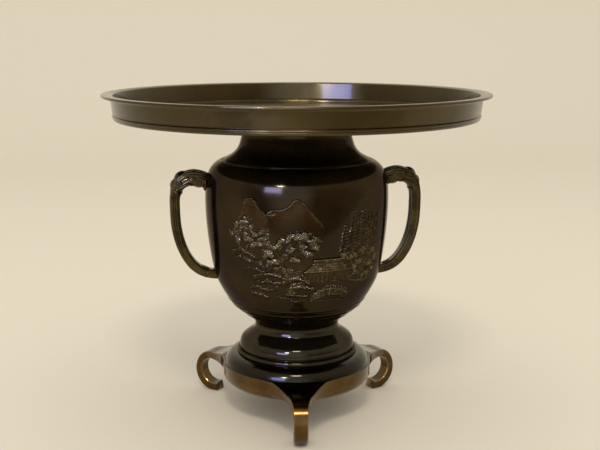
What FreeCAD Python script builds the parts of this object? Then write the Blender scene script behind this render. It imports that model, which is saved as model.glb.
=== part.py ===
import FreeCAD, Part
import math
import os

# A bronze flower vase of the wide-topped kind: a shallow dish that lifts off, a two-part hollow body with a
# handle on each side, a bell-shaped pedestal and a tripod stand with three scrolled legs.
# The origin is on the vase's axis, at the level that the feet stand on. +Z is up, the front faces -Y and
# the handles lie along X. Everything is in millimetres.

os.makedirs("parts", exist_ok=True)

# Dish
LIP_RADIUS = 150.0
LIP_WIDTH = 7.0
LIP_THICKNESS = 2.0
LIP_COVE = 1.2
DISH_DEPTH = 19.6
DISH_WALL_TAPER = 1.2
DISH_WALL = 2.4
DISH_FLOOR = 2.8
GROOVE_WIDTH = 0.9
GROOVE_DEPTH = 0.5
BEAD_HEIGHT = 1.8
DISH_FOOT_ROUND = 2.6

# Spigot under the dish
WELL_RADIUS = 35.4
SPIGOT_WALL = 2.6
SPIGOT_DROP = 24.0
SPIGOT_FLANGE_WIDTH = 3.0
SPIGOT_FLANGE_THICKNESS = 1.4
SPIGOT_CLEARANCE = 0.5
SOLDER_GAP = 0.05

# Neck
NECK_HEIGHT = 32.4
NECK_RADIUS = 43.0
NECK_SEAT_RADIUS = 46.0
NECK_SEAT_HEIGHT = 2.6
NECK_SWEEP_HEIGHT = 17.0

# Body
BODY_HEIGHT = 132.1
BODY_WALL = 3.2
SEAM_RADIUS = 57.6
SEAM_STEP = 0.8
SEAM_LEDGE_WIDTH = 4.0
SEAM_LEDGE_THICKNESS = 2.6
SHOULDER_RADIUS = 69.5
SHOULDER_DROP = 9.0
BODY_RADIUS = 72.4
BODY_RADIUS_DROP = 28.0
BELLY_RADIUS = 70.2
BELLY_DROP = 62.0
HIP_RADIUS = 64.0
HIP_RISE = 38.1
FLANK_RADIUS = 58.0
FLANK_RISE = 27.1
BOWL_RADIUS = 52.4
BOWL_RISE = 18.1
KNEE_RADIUS = 36.0
KNEE_RISE = 5.1
WAIST_RADIUS = 33.6
FLOOR_THICKNESS = 4.0

# Pedestal
PEDESTAL_HEIGHT = 23.4
PEDESTAL_WALL = 3.0
BELL_RADIUS = 45.8
BELL_FOOT_HEIGHT = 5.0
STEP_RADIUS = 48.3
STEP_HEIGHT = 3.4
STEP_GROOVE = 0.8
REGISTER_HEIGHT = 2.0
REGISTER_WALL = 2.0

# Stand
STAND_HEIGHT = 48.5
PLATE_RADIUS = 59.6
PLATE_EDGE_HEIGHT = 40.0
PLATE_EDGE_BEVEL = 0.7
DRUM_WALL_FOOT_HEIGHT = 30.0
DRUM_FOOT_RADIUS = 53.0
DRUM_FOOT_HEIGHT = 23.5
STAND_WALL = 4.0
LEG_COUNT = 3
LEG_TURN = -6.0
SCROLL_RADIUS = 17.9
SCROLL_CENTRE = 77.8
SCROLL_BORE = 12.2
SCROLL_BORE_RISE = 0.7
SCROLL_END_ANGLE = 12.0
FOOT_FLAT_DEPTH = 0.3
LEG_WIDTH = 10.2
LEG_BLEND_ANGLE = 33.0

# Tie between body, pedestal and stand
STUD_RADIUS = 4.0
STUD_CLEARANCE = 0.5
STUD_HEAD_RADIUS = 11.0
STUD_HEAD_THICKNESS = 3.0
STUD_END = 4.0
WASHER_RADIUS = 14.0
WASHER_THICKNESS = 1.6
NUT_ACROSS_FLATS = 13.0
NUT_THICKNESS = 6.5

# Handles
HANDLE_TOP_DROP = 15.7
HANDLE_SPAN = 76.1
HANDLE_REACH = 95.0
HANDLE_WIDTH = 12.0
HANDLE_THICKNESS = 8.0
HEAD_THICKNESS = 12.0
HEAD_WIDTH = 15.0
HANDLE_FOOT_THICKNESS = 7.4
SNOUT_LIP = 1.0
SNOUT_LIP_LENGTH = 3.2
RIVET_RADIUS = 1.8
RIVET_CLEARANCE = 0.1
RIVET_GRIP = 7.0
RIVET_HEAD_RADIUS = 3.8
RIVET_HEAD_THICKNESS = 1.6

# Levels that follow from the heights
PEDESTAL_TOP = STAND_HEIGHT + PEDESTAL_HEIGHT
BODY_TOP = PEDESTAL_TOP + BODY_HEIGHT
NECK_TOP = BODY_TOP + NECK_HEIGHT
DISH_TOP = NECK_TOP + DISH_DEPTH
HANDLE_TOP = BODY_TOP - HANDLE_TOP_DROP
HANDLE_FOOT = HANDLE_TOP - HANDLE_SPAN
SPIGOT_RADIUS = WELL_RADIUS + SPIGOT_WALL
NECK_BORE = SPIGOT_RADIUS + SPIGOT_CLEARANCE
CUT_MARGIN = 5.0


def at(radius, height):
    """Point in the half-plane that is turned about the axis."""
    return FreeCAD.Vector(radius, 0, height)


def lines(*points):
    """Straight edges through the points, in order."""
    return [Part.LineSegment(a, b).toShape() for a, b in zip(points, points[1:])]


def bow(start, through, end):
    """Arc through three points."""
    return [Part.Arc(start, through, end).toShape()]


def flow(points, directions):
    """Smooth curve through the points. A direction steers it at its point, and None leaves it free."""
    spline = Part.BSplineCurve()
    spline.interpolate(
        Points=points,
        Tangents=[way or FreeCAD.Vector(0, 0, 1) for way in directions],
        TangentFlags=[way is not None for way in directions],
    )
    return [spline.toShape()]


def closed_face(edges):
    """Flat face inside a ring of edges that share end points."""
    return Part.Face(Part.Wire(Part.__sortEdges__(edges)))


def turned(edges):
    """Solid of revolution about the vase's axis."""
    return closed_face(edges).revolve(FreeCAD.Vector(), FreeCAD.Vector(0, 0, 1), 360)


def ring(inner, outer, low, high):
    """Plain turned ring, or a disc where inner is 0."""
    disc = Part.makeCylinder(outer, high - low, at(0, low))
    if inner == 0:
        return disc
    return disc.cut(Part.makeCylinder(inner, high - low + 2 * CUT_MARGIN, at(0, low - CUT_MARGIN)))


def inset(points, wall):
    """The points moved square to their own line by the wall, towards the axis side."""
    moved = []
    for i, point in enumerate(points):
        before = points[max(i - 1, 0)]
        after = points[min(i + 1, len(points) - 1)]
        along = (after - before).normalize()
        moved.append(point + FreeCAD.Vector(-along.z, 0, along.x) * wall)
    return moved


def export(node, shape):
    """One file for each piece."""
    shape.exportStep(f"parts/{node}.step")


def top_dish():
    """Turned dish: flat lip, upright wall, groove and bead at the wall's foot, holed floor."""
    wall_top = LIP_RADIUS - LIP_WIDTH
    wall_foot = wall_top - DISH_WALL_TAPER
    lip_under = DISH_TOP - LIP_THICKNESS
    bead_top = NECK_TOP + DISH_FOOT_ROUND / 2 + BEAD_HEIGHT
    groove_top = bead_top + GROOVE_WIDTH
    hole = SPIGOT_RADIUS + SOLDER_GAP
    inside = wall_top - DISH_WALL
    floor_top = NECK_TOP + DISH_FLOOR
    round_out = DISH_FOOT_ROUND * math.sqrt(0.5)
    edges = bow(
        at(LIP_RADIUS - LIP_THICKNESS / 2, DISH_TOP),
        at(LIP_RADIUS, DISH_TOP - LIP_THICKNESS / 2),
        at(LIP_RADIUS - LIP_THICKNESS / 2, lip_under),
    )
    edges += lines(at(LIP_RADIUS - LIP_THICKNESS / 2, lip_under), at(wall_top + LIP_COVE, lip_under))
    edges += bow(
        at(wall_top + LIP_COVE, lip_under),
        at(wall_top + LIP_COVE * (1 - math.sqrt(0.5)), lip_under - LIP_COVE * (1 - math.sqrt(0.5))),
        at(wall_top, lip_under - LIP_COVE),
    )
    edges += lines(
        at(wall_top, lip_under - LIP_COVE),
        at(wall_foot, groove_top),
        at(wall_foot - GROOVE_DEPTH, groove_top - GROOVE_WIDTH / 2),
        at(wall_foot, bead_top),
    )
    edges += bow(
        at(wall_foot, bead_top),
        at(wall_foot + GROOVE_DEPTH / 2, bead_top - BEAD_HEIGHT / 2),
        at(wall_foot, bead_top - BEAD_HEIGHT),
    )
    edges += bow(
        at(wall_foot, bead_top - BEAD_HEIGHT),
        at(wall_foot - DISH_FOOT_ROUND + round_out, NECK_TOP + DISH_FOOT_ROUND / 2 * (1 - math.sqrt(0.5))),
        at(wall_foot - DISH_FOOT_ROUND, NECK_TOP),
    )
    edges += lines(
        at(wall_foot - DISH_FOOT_ROUND, NECK_TOP),
        at(hole, NECK_TOP),
        at(hole, floor_top),
        at(inside - DISH_WALL_TAPER, floor_top),
        at(inside, DISH_TOP),
        at(LIP_RADIUS - LIP_THICKNESS / 2, DISH_TOP),
    )
    return turned(edges)


def dish_spigot():
    """Flanged tube that hangs from the dish's floor into the neck."""
    floor_top = NECK_TOP + DISH_FLOOR
    flange_top = floor_top + SPIGOT_FLANGE_THICKNESS
    tube = ring(WELL_RADIUS, SPIGOT_RADIUS, NECK_TOP - SPIGOT_DROP, flange_top)
    flange = ring(WELL_RADIUS, SPIGOT_RADIUS + SPIGOT_FLANGE_WIDTH, floor_top, flange_top)
    return tube.fuse(flange).removeSplitter()


def seam_ledge_top():
    """Level of the ledge inside the body's mouth that carries the neck."""
    return BODY_TOP - SEAM_STEP - SEAM_LEDGE_THICKNESS


def neck_collar():
    """Neck that sweeps out to the seam line, with a seat for the dish and a rim that drops in the body."""
    seat_under = NECK_TOP - NECK_SEAT_HEIGHT
    seam_top = at(SEAM_RADIUS - SOLDER_GAP, BODY_TOP)
    sweep = [
        at(NECK_RADIUS, BODY_TOP + NECK_SWEEP_HEIGHT),
        at(NECK_RADIUS + (SEAM_RADIUS - NECK_RADIUS) * 0.24, BODY_TOP + NECK_SWEEP_HEIGHT * 0.49),
        seam_top,
    ]
    sweep_directions = [FreeCAD.Vector(0.12, 0, -1), None, FreeCAD.Vector(1, 0, -0.45)]
    ledge = seam_ledge_top()
    rim_inner = SEAM_RADIUS - SOLDER_GAP - SEAM_LEDGE_WIDTH
    edges = lines(
        at(NECK_BORE, NECK_TOP),
        at(NECK_SEAT_RADIUS, NECK_TOP),
        at(NECK_SEAT_RADIUS, seat_under),
    )
    edges += bow(
        at(NECK_SEAT_RADIUS, seat_under),
        at((NECK_SEAT_RADIUS + NECK_RADIUS * 3) / 4, seat_under - NECK_SEAT_HEIGHT / 2),
        at(NECK_RADIUS, seat_under - 1.6 * NECK_SEAT_HEIGHT),
    )
    edges += lines(at(NECK_RADIUS, seat_under - 1.6 * NECK_SEAT_HEIGHT), sweep[0])
    edges += flow(sweep, sweep_directions)
    edges += lines(seam_top, at(SEAM_RADIUS - SOLDER_GAP, ledge), at(rim_inner, ledge))
    inner_turn = at(NECK_BORE, BODY_TOP + NECK_SWEEP_HEIGHT * 0.6)
    edges += bow(
        at(rim_inner, ledge),
        at(NECK_BORE + (rim_inner - NECK_BORE) * 0.3, BODY_TOP + NECK_SWEEP_HEIGHT * 0.12),
        inner_turn,
    )
    edges += lines(inner_turn, at(NECK_BORE, NECK_TOP))
    return turned(edges)


def body_outline():
    """Outside of the body from the waist up to the seam line."""
    return [
        at(KNEE_RADIUS, PEDESTAL_TOP + KNEE_RISE),
        at(BOWL_RADIUS, PEDESTAL_TOP + BOWL_RISE),
        at(FLANK_RADIUS, PEDESTAL_TOP + FLANK_RISE),
        at(HIP_RADIUS, PEDESTAL_TOP + HIP_RISE),
        at(BELLY_RADIUS, BODY_TOP - BELLY_DROP),
        at(BODY_RADIUS, BODY_TOP - BODY_RADIUS_DROP),
        at(SHOULDER_RADIUS, BODY_TOP - SHOULDER_DROP),
        at(SEAM_RADIUS + SEAM_STEP, BODY_TOP),
    ]


def body_skin(points):
    """The body's long curve, steep at the knee and lying down where it meets the seam."""
    free = [None] * (len(points) - 2)
    return flow(points, [FreeCAD.Vector(0.8, 0, 0.6), *free, FreeCAD.Vector(-1, 0, 0.45)])


def body_solid():
    """The body filled in, for seating what is fastened to its outside."""
    outline = body_outline()
    edges = lines(at(0, BODY_TOP), at(0, PEDESTAL_TOP), at(WAIST_RADIUS, PEDESTAL_TOP), outline[0])
    edges += body_skin(outline)
    edges += lines(outline[-1], at(0, BODY_TOP))
    return turned(edges)


def body_shell():
    """Hollow body with a ledge in its mouth for the neck and a rebated foot for the floor."""
    outline = body_outline()
    inner = inset(outline, BODY_WALL)
    ledge = seam_ledge_top()
    mouth = SEAM_RADIUS
    ledge_inner = mouth - SEAM_LEDGE_WIDTH
    inner[-1] = at(ledge_inner, ledge - SEAM_LEDGE_THICKNESS)
    foot_inner = WAIST_RADIUS - BODY_WALL
    edges = lines(at(foot_inner, PEDESTAL_TOP), at(WAIST_RADIUS, PEDESTAL_TOP), outline[0])
    edges += body_skin(outline)
    edges += lines(outline[-1], at(mouth, BODY_TOP), at(mouth, ledge), at(ledge_inner, ledge), inner[-1])
    edges += body_skin(inner)
    edges += lines(inner[0], at(foot_inner, PEDESTAL_TOP))
    shell = turned(edges)
    for side in (-1, 1):
        for level in (HANDLE_TOP, HANDLE_FOOT):
            shell = shell.cut(rivet_hole(side, level, RIVET_RADIUS + RIVET_CLEARANCE))
    return shell


def body_floor():
    """Disc soldered into the body's foot, with a ring below that centres the pedestal and a stud hole."""
    foot = WAIST_RADIUS - BODY_WALL - SOLDER_GAP
    plug = ring(STUD_RADIUS + SOLDER_GAP, foot, PEDESTAL_TOP, PEDESTAL_TOP + FLOOR_THICKNESS)
    register = ring(
        pedestal_mouth() - REGISTER_WALL - STUD_CLEARANCE,
        pedestal_mouth() - STUD_CLEARANCE,
        PEDESTAL_TOP - REGISTER_HEIGHT,
        PEDESTAL_TOP,
    )
    return plug.fuse(register).removeSplitter()


def rivet_hole(side, level, radius):
    """Hole through the body's wall and into the handle's root, along X."""
    start = FreeCAD.Vector(side * WAIST_RADIUS, 0, level)
    length = wall_reach(level) + RIVET_GRIP - WAIST_RADIUS
    return Part.makeCylinder(radius, length, start, FreeCAD.Vector(side, 0, 0))


def wall_reach(level):
    """Distance from the axis to the body's outside at one level."""
    skin = Part.Wire(body_skin(body_outline()))
    cut_line = Part.LineSegment(at(0, level), at(2 * BODY_RADIUS, level)).toShape()
    return skin.distToShape(cut_line)[1][0][0].x


def handle_line():
    """Middle line of a handle as (distance from the axis, level, half thickness, half width)."""
    top = wall_reach(HANDLE_TOP)
    foot = wall_reach(HANDLE_FOOT)
    head = HEAD_THICKNESS / 2
    brow = HEAD_WIDTH / 2
    strap = HANDLE_THICKNESS / 2
    band = HANDLE_WIDTH / 2
    root = HANDLE_FOOT_THICKNESS / 2
    reach = HANDLE_REACH
    return [
        (top - BODY_WALL / 2, HANDLE_TOP, head * 0.85, brow * 0.85),
        (top + (reach - top) * 0.18, HANDLE_TOP + HANDLE_SPAN * 0.018, head * 0.92, brow * 0.92),
        (top + (reach - top) * 0.42, HANDLE_TOP + HANDLE_SPAN * 0.028, head, brow),
        (reach - strap * 0.85, HANDLE_TOP - HANDLE_SPAN * 0.045, head, brow * 0.95),
        (reach - strap * 0.15, HANDLE_TOP - HANDLE_SPAN * 0.145, strap * 1.1, band * 1.1),
        (reach + strap * 0.12, HANDLE_TOP - HANDLE_SPAN * 0.3, strap, band),
        (reach - strap * 0.22, HANDLE_TOP - HANDLE_SPAN * 0.49, strap, band),
        (reach - strap * 0.95, HANDLE_TOP - HANDLE_SPAN * 0.66, strap, band),
        (reach - strap * 2.0, HANDLE_TOP - HANDLE_SPAN * 0.785, strap * 0.95, band * 0.95),
        (reach - strap * 3.3, HANDLE_TOP - HANDLE_SPAN * 0.89, strap * 0.9, band * 0.9),
        (foot + (reach - foot) * 0.4, HANDLE_TOP - HANDLE_SPAN * 0.96, root, band * 0.85),
        (foot + (reach - foot) * 0.16, HANDLE_FOOT + HANDLE_SPAN * 0.003, root, band * 0.85),
        (foot - BODY_WALL / 2, HANDLE_FOOT, root, band * 0.85),
    ]


def oval(centre, along, half_thickness, half_width):
    """Closed oval section square to the handle's line."""
    across = FreeCAD.Vector(0, 1, 0)
    outward = along.cross(across).normalize()
    if half_width > half_thickness:
        ellipse = Part.Ellipse(centre + across * half_width, centre + outward * half_thickness, centre)
    else:
        ellipse = Part.Ellipse(centre + outward * half_thickness, centre + across * half_width, centre)
    return Part.Wire(ellipse.toShape())


def snout_lip():
    """Raised lip round the handle where the beast's snout lets go of the strap."""
    line = handle_line()
    x, z, half_thickness, half_width = line[4]
    after = line[5]
    along = FreeCAD.Vector(after[0] - x, 0, after[1] - z).normalize()
    middle = at(x, z)
    sections = []
    for shift, swell in ((-0.5, 0.4), (-0.2, 1.0), (0.2, 1.0), (0.5, 0.4)):
        sections.append(
            oval(
                middle + along * SNOUT_LIP_LENGTH * shift,
                along,
                half_thickness + SNOUT_LIP * swell,
                half_width + SNOUT_LIP * swell,
            )
        )
    return Part.makeLoft(sections, True, False)


def handle():
    """Right-hand handle: thick head at the shoulder, curved strap, root low on the body."""
    line = handle_line()
    sections = []
    for i, (x, z, half_thickness, half_width) in enumerate(line):
        before = line[max(i - 1, 0)]
        after = line[min(i + 1, len(line) - 1)]
        along = FreeCAD.Vector(after[0] - before[0], 0, after[1] - before[1]).normalize()
        sections.append(oval(at(x, z), along, half_thickness, half_width))
    strap = Part.makeLoft(sections, True, False)
    solid = strap.fuse(snout_lip())
    solid = solid.cut(body_solid())
    for level in (HANDLE_TOP, HANDLE_FOOT):
        solid = solid.cut(rivet_hole(1, level, RIVET_RADIUS + RIVET_CLEARANCE))
    return solid


def mirrored(shape):
    """The same piece on the other side of the vase."""
    return shape.mirror(FreeCAD.Vector(), FreeCAD.Vector(1, 0, 0))


def rivet(level):
    """Right-hand rivet: shank through the wall into the handle, head up against the wall's inside."""
    reach = wall_reach(level)
    inside = reach - BODY_WALL * 1.6 - RIVET_HEAD_THICKNESS
    x_axis = FreeCAD.Vector(1, 0, 0)
    length = reach + RIVET_GRIP - SOLDER_GAP - inside
    shank = Part.makeCylinder(RIVET_RADIUS, length, at(inside, level), x_axis)
    head = Part.makeCylinder(RIVET_HEAD_RADIUS, BODY_WALL + RIVET_HEAD_THICKNESS, at(inside, level), x_axis)
    shell = body_solid().cut(inner_room())
    return shank.fuse(head.cut(shell)).removeSplitter()


def inner_room():
    """The space inside the body's wall."""
    inner = inset(body_outline(), BODY_WALL)
    inner[-1] = at(SEAM_RADIUS - SEAM_LEDGE_WIDTH, seam_ledge_top() - SEAM_LEDGE_THICKNESS)
    edges = lines(inner[-1], at(0, inner[-1].z), at(0, inner[0].z), inner[0]) + body_skin(inner)
    return turned(edges)


def pedestal_mouth():
    """Bore of the pedestal's top ring."""
    return WAIST_RADIUS - PEDESTAL_WALL


def pedestal():
    """Hollow bell that flares from the waist, with a groove above each of its two foot steps."""
    step_top = STAND_HEIGHT + STEP_HEIGHT
    bell_foot = STAND_HEIGHT + BELL_FOOT_HEIGHT
    neck_foot = PEDESTAL_TOP - PEDESTAL_HEIGHT * 0.18
    bell = [
        at(WAIST_RADIUS, neck_foot),
        at(WAIST_RADIUS + (BELL_RADIUS - WAIST_RADIUS) * 0.68, bell_foot + (neck_foot - bell_foot) * 0.62),
        at(BELL_RADIUS, bell_foot),
    ]
    directions = [FreeCAD.Vector(0.25, 0, -1), None, FreeCAD.Vector(0.1, 0, -1)]
    mouth = pedestal_mouth()
    edges = lines(at(mouth, PEDESTAL_TOP), at(WAIST_RADIUS, PEDESTAL_TOP), bell[0])
    edges += flow(bell, directions)
    edges += lines(
        bell[-1],
        at(BELL_RADIUS - STEP_GROOVE, bell_foot - STEP_GROOVE),
        at(BELL_RADIUS - STEP_GROOVE, step_top),
    )
    edges += bow(
        at(BELL_RADIUS - STEP_GROOVE, step_top),
        at(STEP_RADIUS - STEP_GROOVE / 2, step_top - STEP_GROOVE / 2),
        at(STEP_RADIUS, STAND_HEIGHT + STEP_HEIGHT / 2),
    )
    edges += lines(at(STEP_RADIUS, STAND_HEIGHT + STEP_HEIGHT / 2), at(STEP_RADIUS, STAND_HEIGHT))
    inside = inset(bell[::-1], PEDESTAL_WALL)[::-1]
    inside[0] = at(mouth, bell[0].z)
    foot_bore = BELL_RADIUS - PEDESTAL_WALL
    inside[-1] = at(foot_bore, bell_foot)
    edges += lines(at(STEP_RADIUS, STAND_HEIGHT), at(foot_bore, STAND_HEIGHT), inside[-1])
    edges += flow(inside, directions)
    edges += lines(inside[0], at(mouth, PEDESTAL_TOP))
    return turned(edges)


def stand_bowl():
    """Plate with a rolled top edge and the hollow drum under it, turned as one."""
    rise = STAND_HEIGHT - PLATE_EDGE_HEIGHT
    seat = STEP_RADIUS + STEP_GROOVE
    edges = lines(at(STUD_RADIUS + STUD_CLEARANCE, STAND_HEIGHT), at(seat, STAND_HEIGHT))
    edges += bow(
        at(seat, STAND_HEIGHT),
        at(seat + (PLATE_RADIUS - seat) * 0.74, PLATE_EDGE_HEIGHT + rise * 0.62),
        at(PLATE_RADIUS, PLATE_EDGE_HEIGHT),
    )
    edges += lines(at(PLATE_RADIUS, PLATE_EDGE_HEIGHT), at(PLATE_RADIUS, DRUM_WALL_FOOT_HEIGHT))
    edges += bow(
        at(PLATE_RADIUS, DRUM_WALL_FOOT_HEIGHT),
        at(
            PLATE_RADIUS - (PLATE_RADIUS - DRUM_FOOT_RADIUS) * 0.3,
            DRUM_FOOT_HEIGHT + (DRUM_WALL_FOOT_HEIGHT - DRUM_FOOT_HEIGHT) * 0.35,
        ),
        at(DRUM_FOOT_RADIUS, DRUM_FOOT_HEIGHT),
    )
    room_top = STAND_HEIGHT - STAND_WALL
    room_radius = DRUM_FOOT_RADIUS - STAND_WALL
    edges += lines(
        at(DRUM_FOOT_RADIUS, DRUM_FOOT_HEIGHT),
        at(room_radius, DRUM_FOOT_HEIGHT),
        at(room_radius + STAND_WALL / 2, DRUM_WALL_FOOT_HEIGHT),
        at(room_radius + STAND_WALL / 2, room_top),
        at(STUD_RADIUS + STUD_CLEARANCE, room_top),
        at(STUD_RADIUS + STUD_CLEARANCE, STAND_HEIGHT),
    )
    return turned(edges)


def leg_side():
    """Side view of a leg along X: arm that dips from the plate's edge, then the scroll down to the foot."""
    scroll_z = SCROLL_RADIUS - FOOT_FLAT_DEPTH
    bore_z = scroll_z + SCROLL_BORE_RISE
    end = math.radians(90 + SCROLL_END_ANGLE)
    root = PLATE_RADIUS - 2 * STAND_WALL
    plate_top = PLATE_EDGE_HEIGHT - PLATE_EDGE_BEVEL / 2
    outer_top = at(SCROLL_CENTRE, scroll_z + SCROLL_RADIUS)
    inner_top = at(SCROLL_CENTRE, bore_z + SCROLL_BORE)
    outer_end = at(SCROLL_CENTRE + SCROLL_RADIUS * math.cos(end), scroll_z - SCROLL_RADIUS * math.sin(end))
    inner_end = at(SCROLL_CENTRE + SCROLL_BORE * math.cos(end), bore_z - SCROLL_BORE * math.sin(end))
    level = FreeCAD.Vector(1, 0, 0)
    edges = lines(at(root, inner_top.z), at(root, plate_top), at(PLATE_RADIUS, plate_top))
    edges += flow([at(PLATE_RADIUS, plate_top), outer_top], [FreeCAD.Vector(1, 0, -0.25), level])
    edges += bow(outer_top, at(SCROLL_CENTRE + SCROLL_RADIUS, scroll_z), outer_end)
    edges += lines(outer_end, inner_end)
    edges += bow(inner_end, at(SCROLL_CENTRE + SCROLL_BORE, bore_z), inner_top)
    edges += lines(inner_top, at(root, inner_top.z))
    return closed_face(edges)


def leg_plan():
    """Top view of a leg along X: hollow-sided wedge that blends the plate's edge into the strap."""
    half = LEG_WIDTH / 2
    blend = math.radians(LEG_BLEND_ANGLE)
    radius = (PLATE_RADIUS * math.sin(blend) - half) / (1 - math.sin(blend))
    centre_x = (PLATE_RADIUS + radius) * math.cos(blend)
    centre_y = half + radius
    tip = SCROLL_CENTRE + SCROLL_RADIUS + CUT_MARGIN
    edges = []
    for side in (-1, 1):
        start = FreeCAD.Vector(PLATE_RADIUS * math.cos(blend), side * PLATE_RADIUS * math.sin(blend), 0)
        middle_turn = (blend + math.pi / 2) / 2
        middle = FreeCAD.Vector(
            centre_x - radius * math.cos(middle_turn),
            side * (centre_y - radius * math.sin(middle_turn)),
            0,
        )
        finish = FreeCAD.Vector(centre_x, side * half, 0)
        corner = FreeCAD.Vector(max(tip, centre_x), side * half, 0)
        edges += bow(start, middle, finish)
        edges += lines(finish, corner) if tip > centre_x else []
    far = max(tip, centre_x)
    edges += lines(FreeCAD.Vector(far, -half, 0), FreeCAD.Vector(far, half, 0))
    root = PLATE_RADIUS * math.cos(blend)
    edges += lines(
        FreeCAD.Vector(root, -PLATE_RADIUS * math.sin(blend), 0),
        FreeCAD.Vector(root, PLATE_RADIUS * math.sin(blend), 0),
    )
    return closed_face(edges)


def leg():
    """One leg along +X, not yet joined to the plate."""
    wide = 2 * PLATE_RADIUS
    slab = leg_side().extrude(FreeCAD.Vector(0, wide, 0))
    slab.translate(FreeCAD.Vector(0, -wide / 2, 0))
    split = SCROLL_RADIUS
    upper = leg_plan().extrude(FreeCAD.Vector(0, 0, STAND_HEIGHT))
    upper.translate(FreeCAD.Vector(0, 0, split))
    lower = Part.makeBox(wide, LEG_WIDTH, split, FreeCAD.Vector(0, -LEG_WIDTH / 2, 0))
    return slab.common(upper).fuse(slab.common(lower)).removeSplitter()


def tripod_stand():
    """Plate, drum and legs as one casting, with the front leg towards -Y."""
    stand = stand_bowl()
    for i in range(LEG_COUNT):
        one = leg()
        one.rotate(FreeCAD.Vector(), FreeCAD.Vector(0, 0, 1), LEG_TURN - 90 + i * 360 / LEG_COUNT)
        stand = stand.fuse(one)
    room = ring(0, DRUM_FOOT_RADIUS - STAND_WALL, 0, STAND_HEIGHT - STAND_WALL)
    return stand.cut(room).removeSplitter()


def tie_stud():
    """Stud headed inside the body's floor that passes down through pedestal and stand."""
    floor_top = PEDESTAL_TOP + FLOOR_THICKNESS
    plate_under = STAND_HEIGHT - STAND_WALL
    low = plate_under - WASHER_THICKNESS - NUT_THICKNESS - STUD_END
    shank = ring(0, STUD_RADIUS, low, floor_top)
    head = ring(0, STUD_HEAD_RADIUS, floor_top, floor_top + STUD_HEAD_THICKNESS)
    return shank.fuse(head).removeSplitter()


def clamp_washer():
    """Washer under the stand's plate."""
    top = STAND_HEIGHT - STAND_WALL
    return ring(STUD_RADIUS + STUD_CLEARANCE, WASHER_RADIUS, top - WASHER_THICKNESS, top)


def clamp_nut():
    """Hexagon nut under the washer."""
    top = STAND_HEIGHT - STAND_WALL - WASHER_THICKNESS
    corner = NUT_ACROSS_FLATS / math.sqrt(3)
    points = [
        FreeCAD.Vector(
            corner * math.cos(math.radians(60 * i)),
            corner * math.sin(math.radians(60 * i)),
            top - NUT_THICKNESS,
        )
        for i in range(7)
    ]
    hexagon = Part.Face(Part.makePolygon(points)).extrude(FreeCAD.Vector(0, 0, NUT_THICKNESS))
    low = top - NUT_THICKNESS
    return hexagon.cut(ring(0, STUD_RADIUS + SOLDER_GAP, low - CUT_MARGIN, top + CUT_MARGIN))


right_handle = handle()
right_rivets = [rivet(HANDLE_TOP), rivet(HANDLE_FOOT)]

pieces = {
    "top_dish": top_dish(),
    "dish_spigot": dish_spigot(),
    "neck_collar": neck_collar(),
    "body_shell": body_shell(),
    "body_floor": body_floor(),
    "handle_right": right_handle,
    "handle_left": mirrored(right_handle),
    "handle_rivets": Part.makeCompound(right_rivets + [mirrored(one) for one in right_rivets]),
    "pedestal": pedestal(),
    "tripod_stand": tripod_stand(),
    "tie_stud": tie_stud(),
    "clamp_washer": clamp_washer(),
    "clamp_nut": clamp_nut(),
}

for node, shape in pieces.items():
    box = shape.BoundBox
    print(
        node,
        "valid" if shape.isValid() else "NOT VALID",
        f"solids {len(shape.Solids)} volume {shape.Volume / 1000:.2f} cm3",
        f"z {box.ZMin:.2f} to {box.ZMax:.2f} reach {max(box.XMax, box.YMax, -box.YMin):.2f}",
    )
    export(node, shape)
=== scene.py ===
"""A cast bronze flower vase, dressed over its CAD model.

A wide shallow dish sits on a necked round body with a landscape in low relief and a beast-head handle on each
side, over a bell pedestal and a stand on three scrolled legs. Sizes are in millimetres until a mesh is made.
"""

import logging
import math
from dataclasses import dataclass, field
from enum import Enum
from typing import Callable, Optional, Sequence, Union

import bpy
import numpy as np
from mathutils import Matrix, Vector


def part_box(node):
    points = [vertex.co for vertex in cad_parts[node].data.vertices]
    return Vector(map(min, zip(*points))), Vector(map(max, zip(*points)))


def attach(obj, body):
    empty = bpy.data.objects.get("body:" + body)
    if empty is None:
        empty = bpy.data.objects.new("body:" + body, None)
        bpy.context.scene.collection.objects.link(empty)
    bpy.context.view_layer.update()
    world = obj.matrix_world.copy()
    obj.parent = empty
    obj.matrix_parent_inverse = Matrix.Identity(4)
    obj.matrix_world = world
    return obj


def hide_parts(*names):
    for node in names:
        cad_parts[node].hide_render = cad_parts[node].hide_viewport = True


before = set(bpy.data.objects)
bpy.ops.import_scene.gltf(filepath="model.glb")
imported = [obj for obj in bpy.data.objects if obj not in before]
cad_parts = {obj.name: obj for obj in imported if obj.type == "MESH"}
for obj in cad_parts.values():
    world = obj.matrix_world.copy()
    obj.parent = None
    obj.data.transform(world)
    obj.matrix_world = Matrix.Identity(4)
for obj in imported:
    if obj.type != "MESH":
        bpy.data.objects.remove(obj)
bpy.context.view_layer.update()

LOG = logging.getLogger("vase")
MM = 0.001
WELD_DISTANCE = 0.004

Point = tuple[float, float]
Surface = Callable[[np.ndarray, np.ndarray], np.ndarray]
Pad = tuple[float, float, float, float]
Feed = Union[float, str, tuple, bpy.types.NodeSocket]


class Rides(Enum):
    """The CAD body that a piece moves with."""

    VASE = "vase"
    DISH = "dish"


class Slot(Enum):
    """The record's finishes."""

    DISH = "dish_bronze"
    DARK = "dark_bronze"
    HANDLE = "handle_bronze"
    STAND = "stand_bronze"


# Sizes read from the CAD nodes


def top_of(node: str) -> float:
    """Highest level of a CAD node, in millimetres.

    Args:
        node: the node's name.

    Returns:
        Its top, above the feet.
    """
    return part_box(node)[1][2] / MM


def foot_of(node: str) -> float:
    """Lowest level of a CAD node, in millimetres.

    Args:
        node: the node's name.

    Returns:
        Its underside, above the feet.
    """
    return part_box(node)[0][2] / MM


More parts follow.
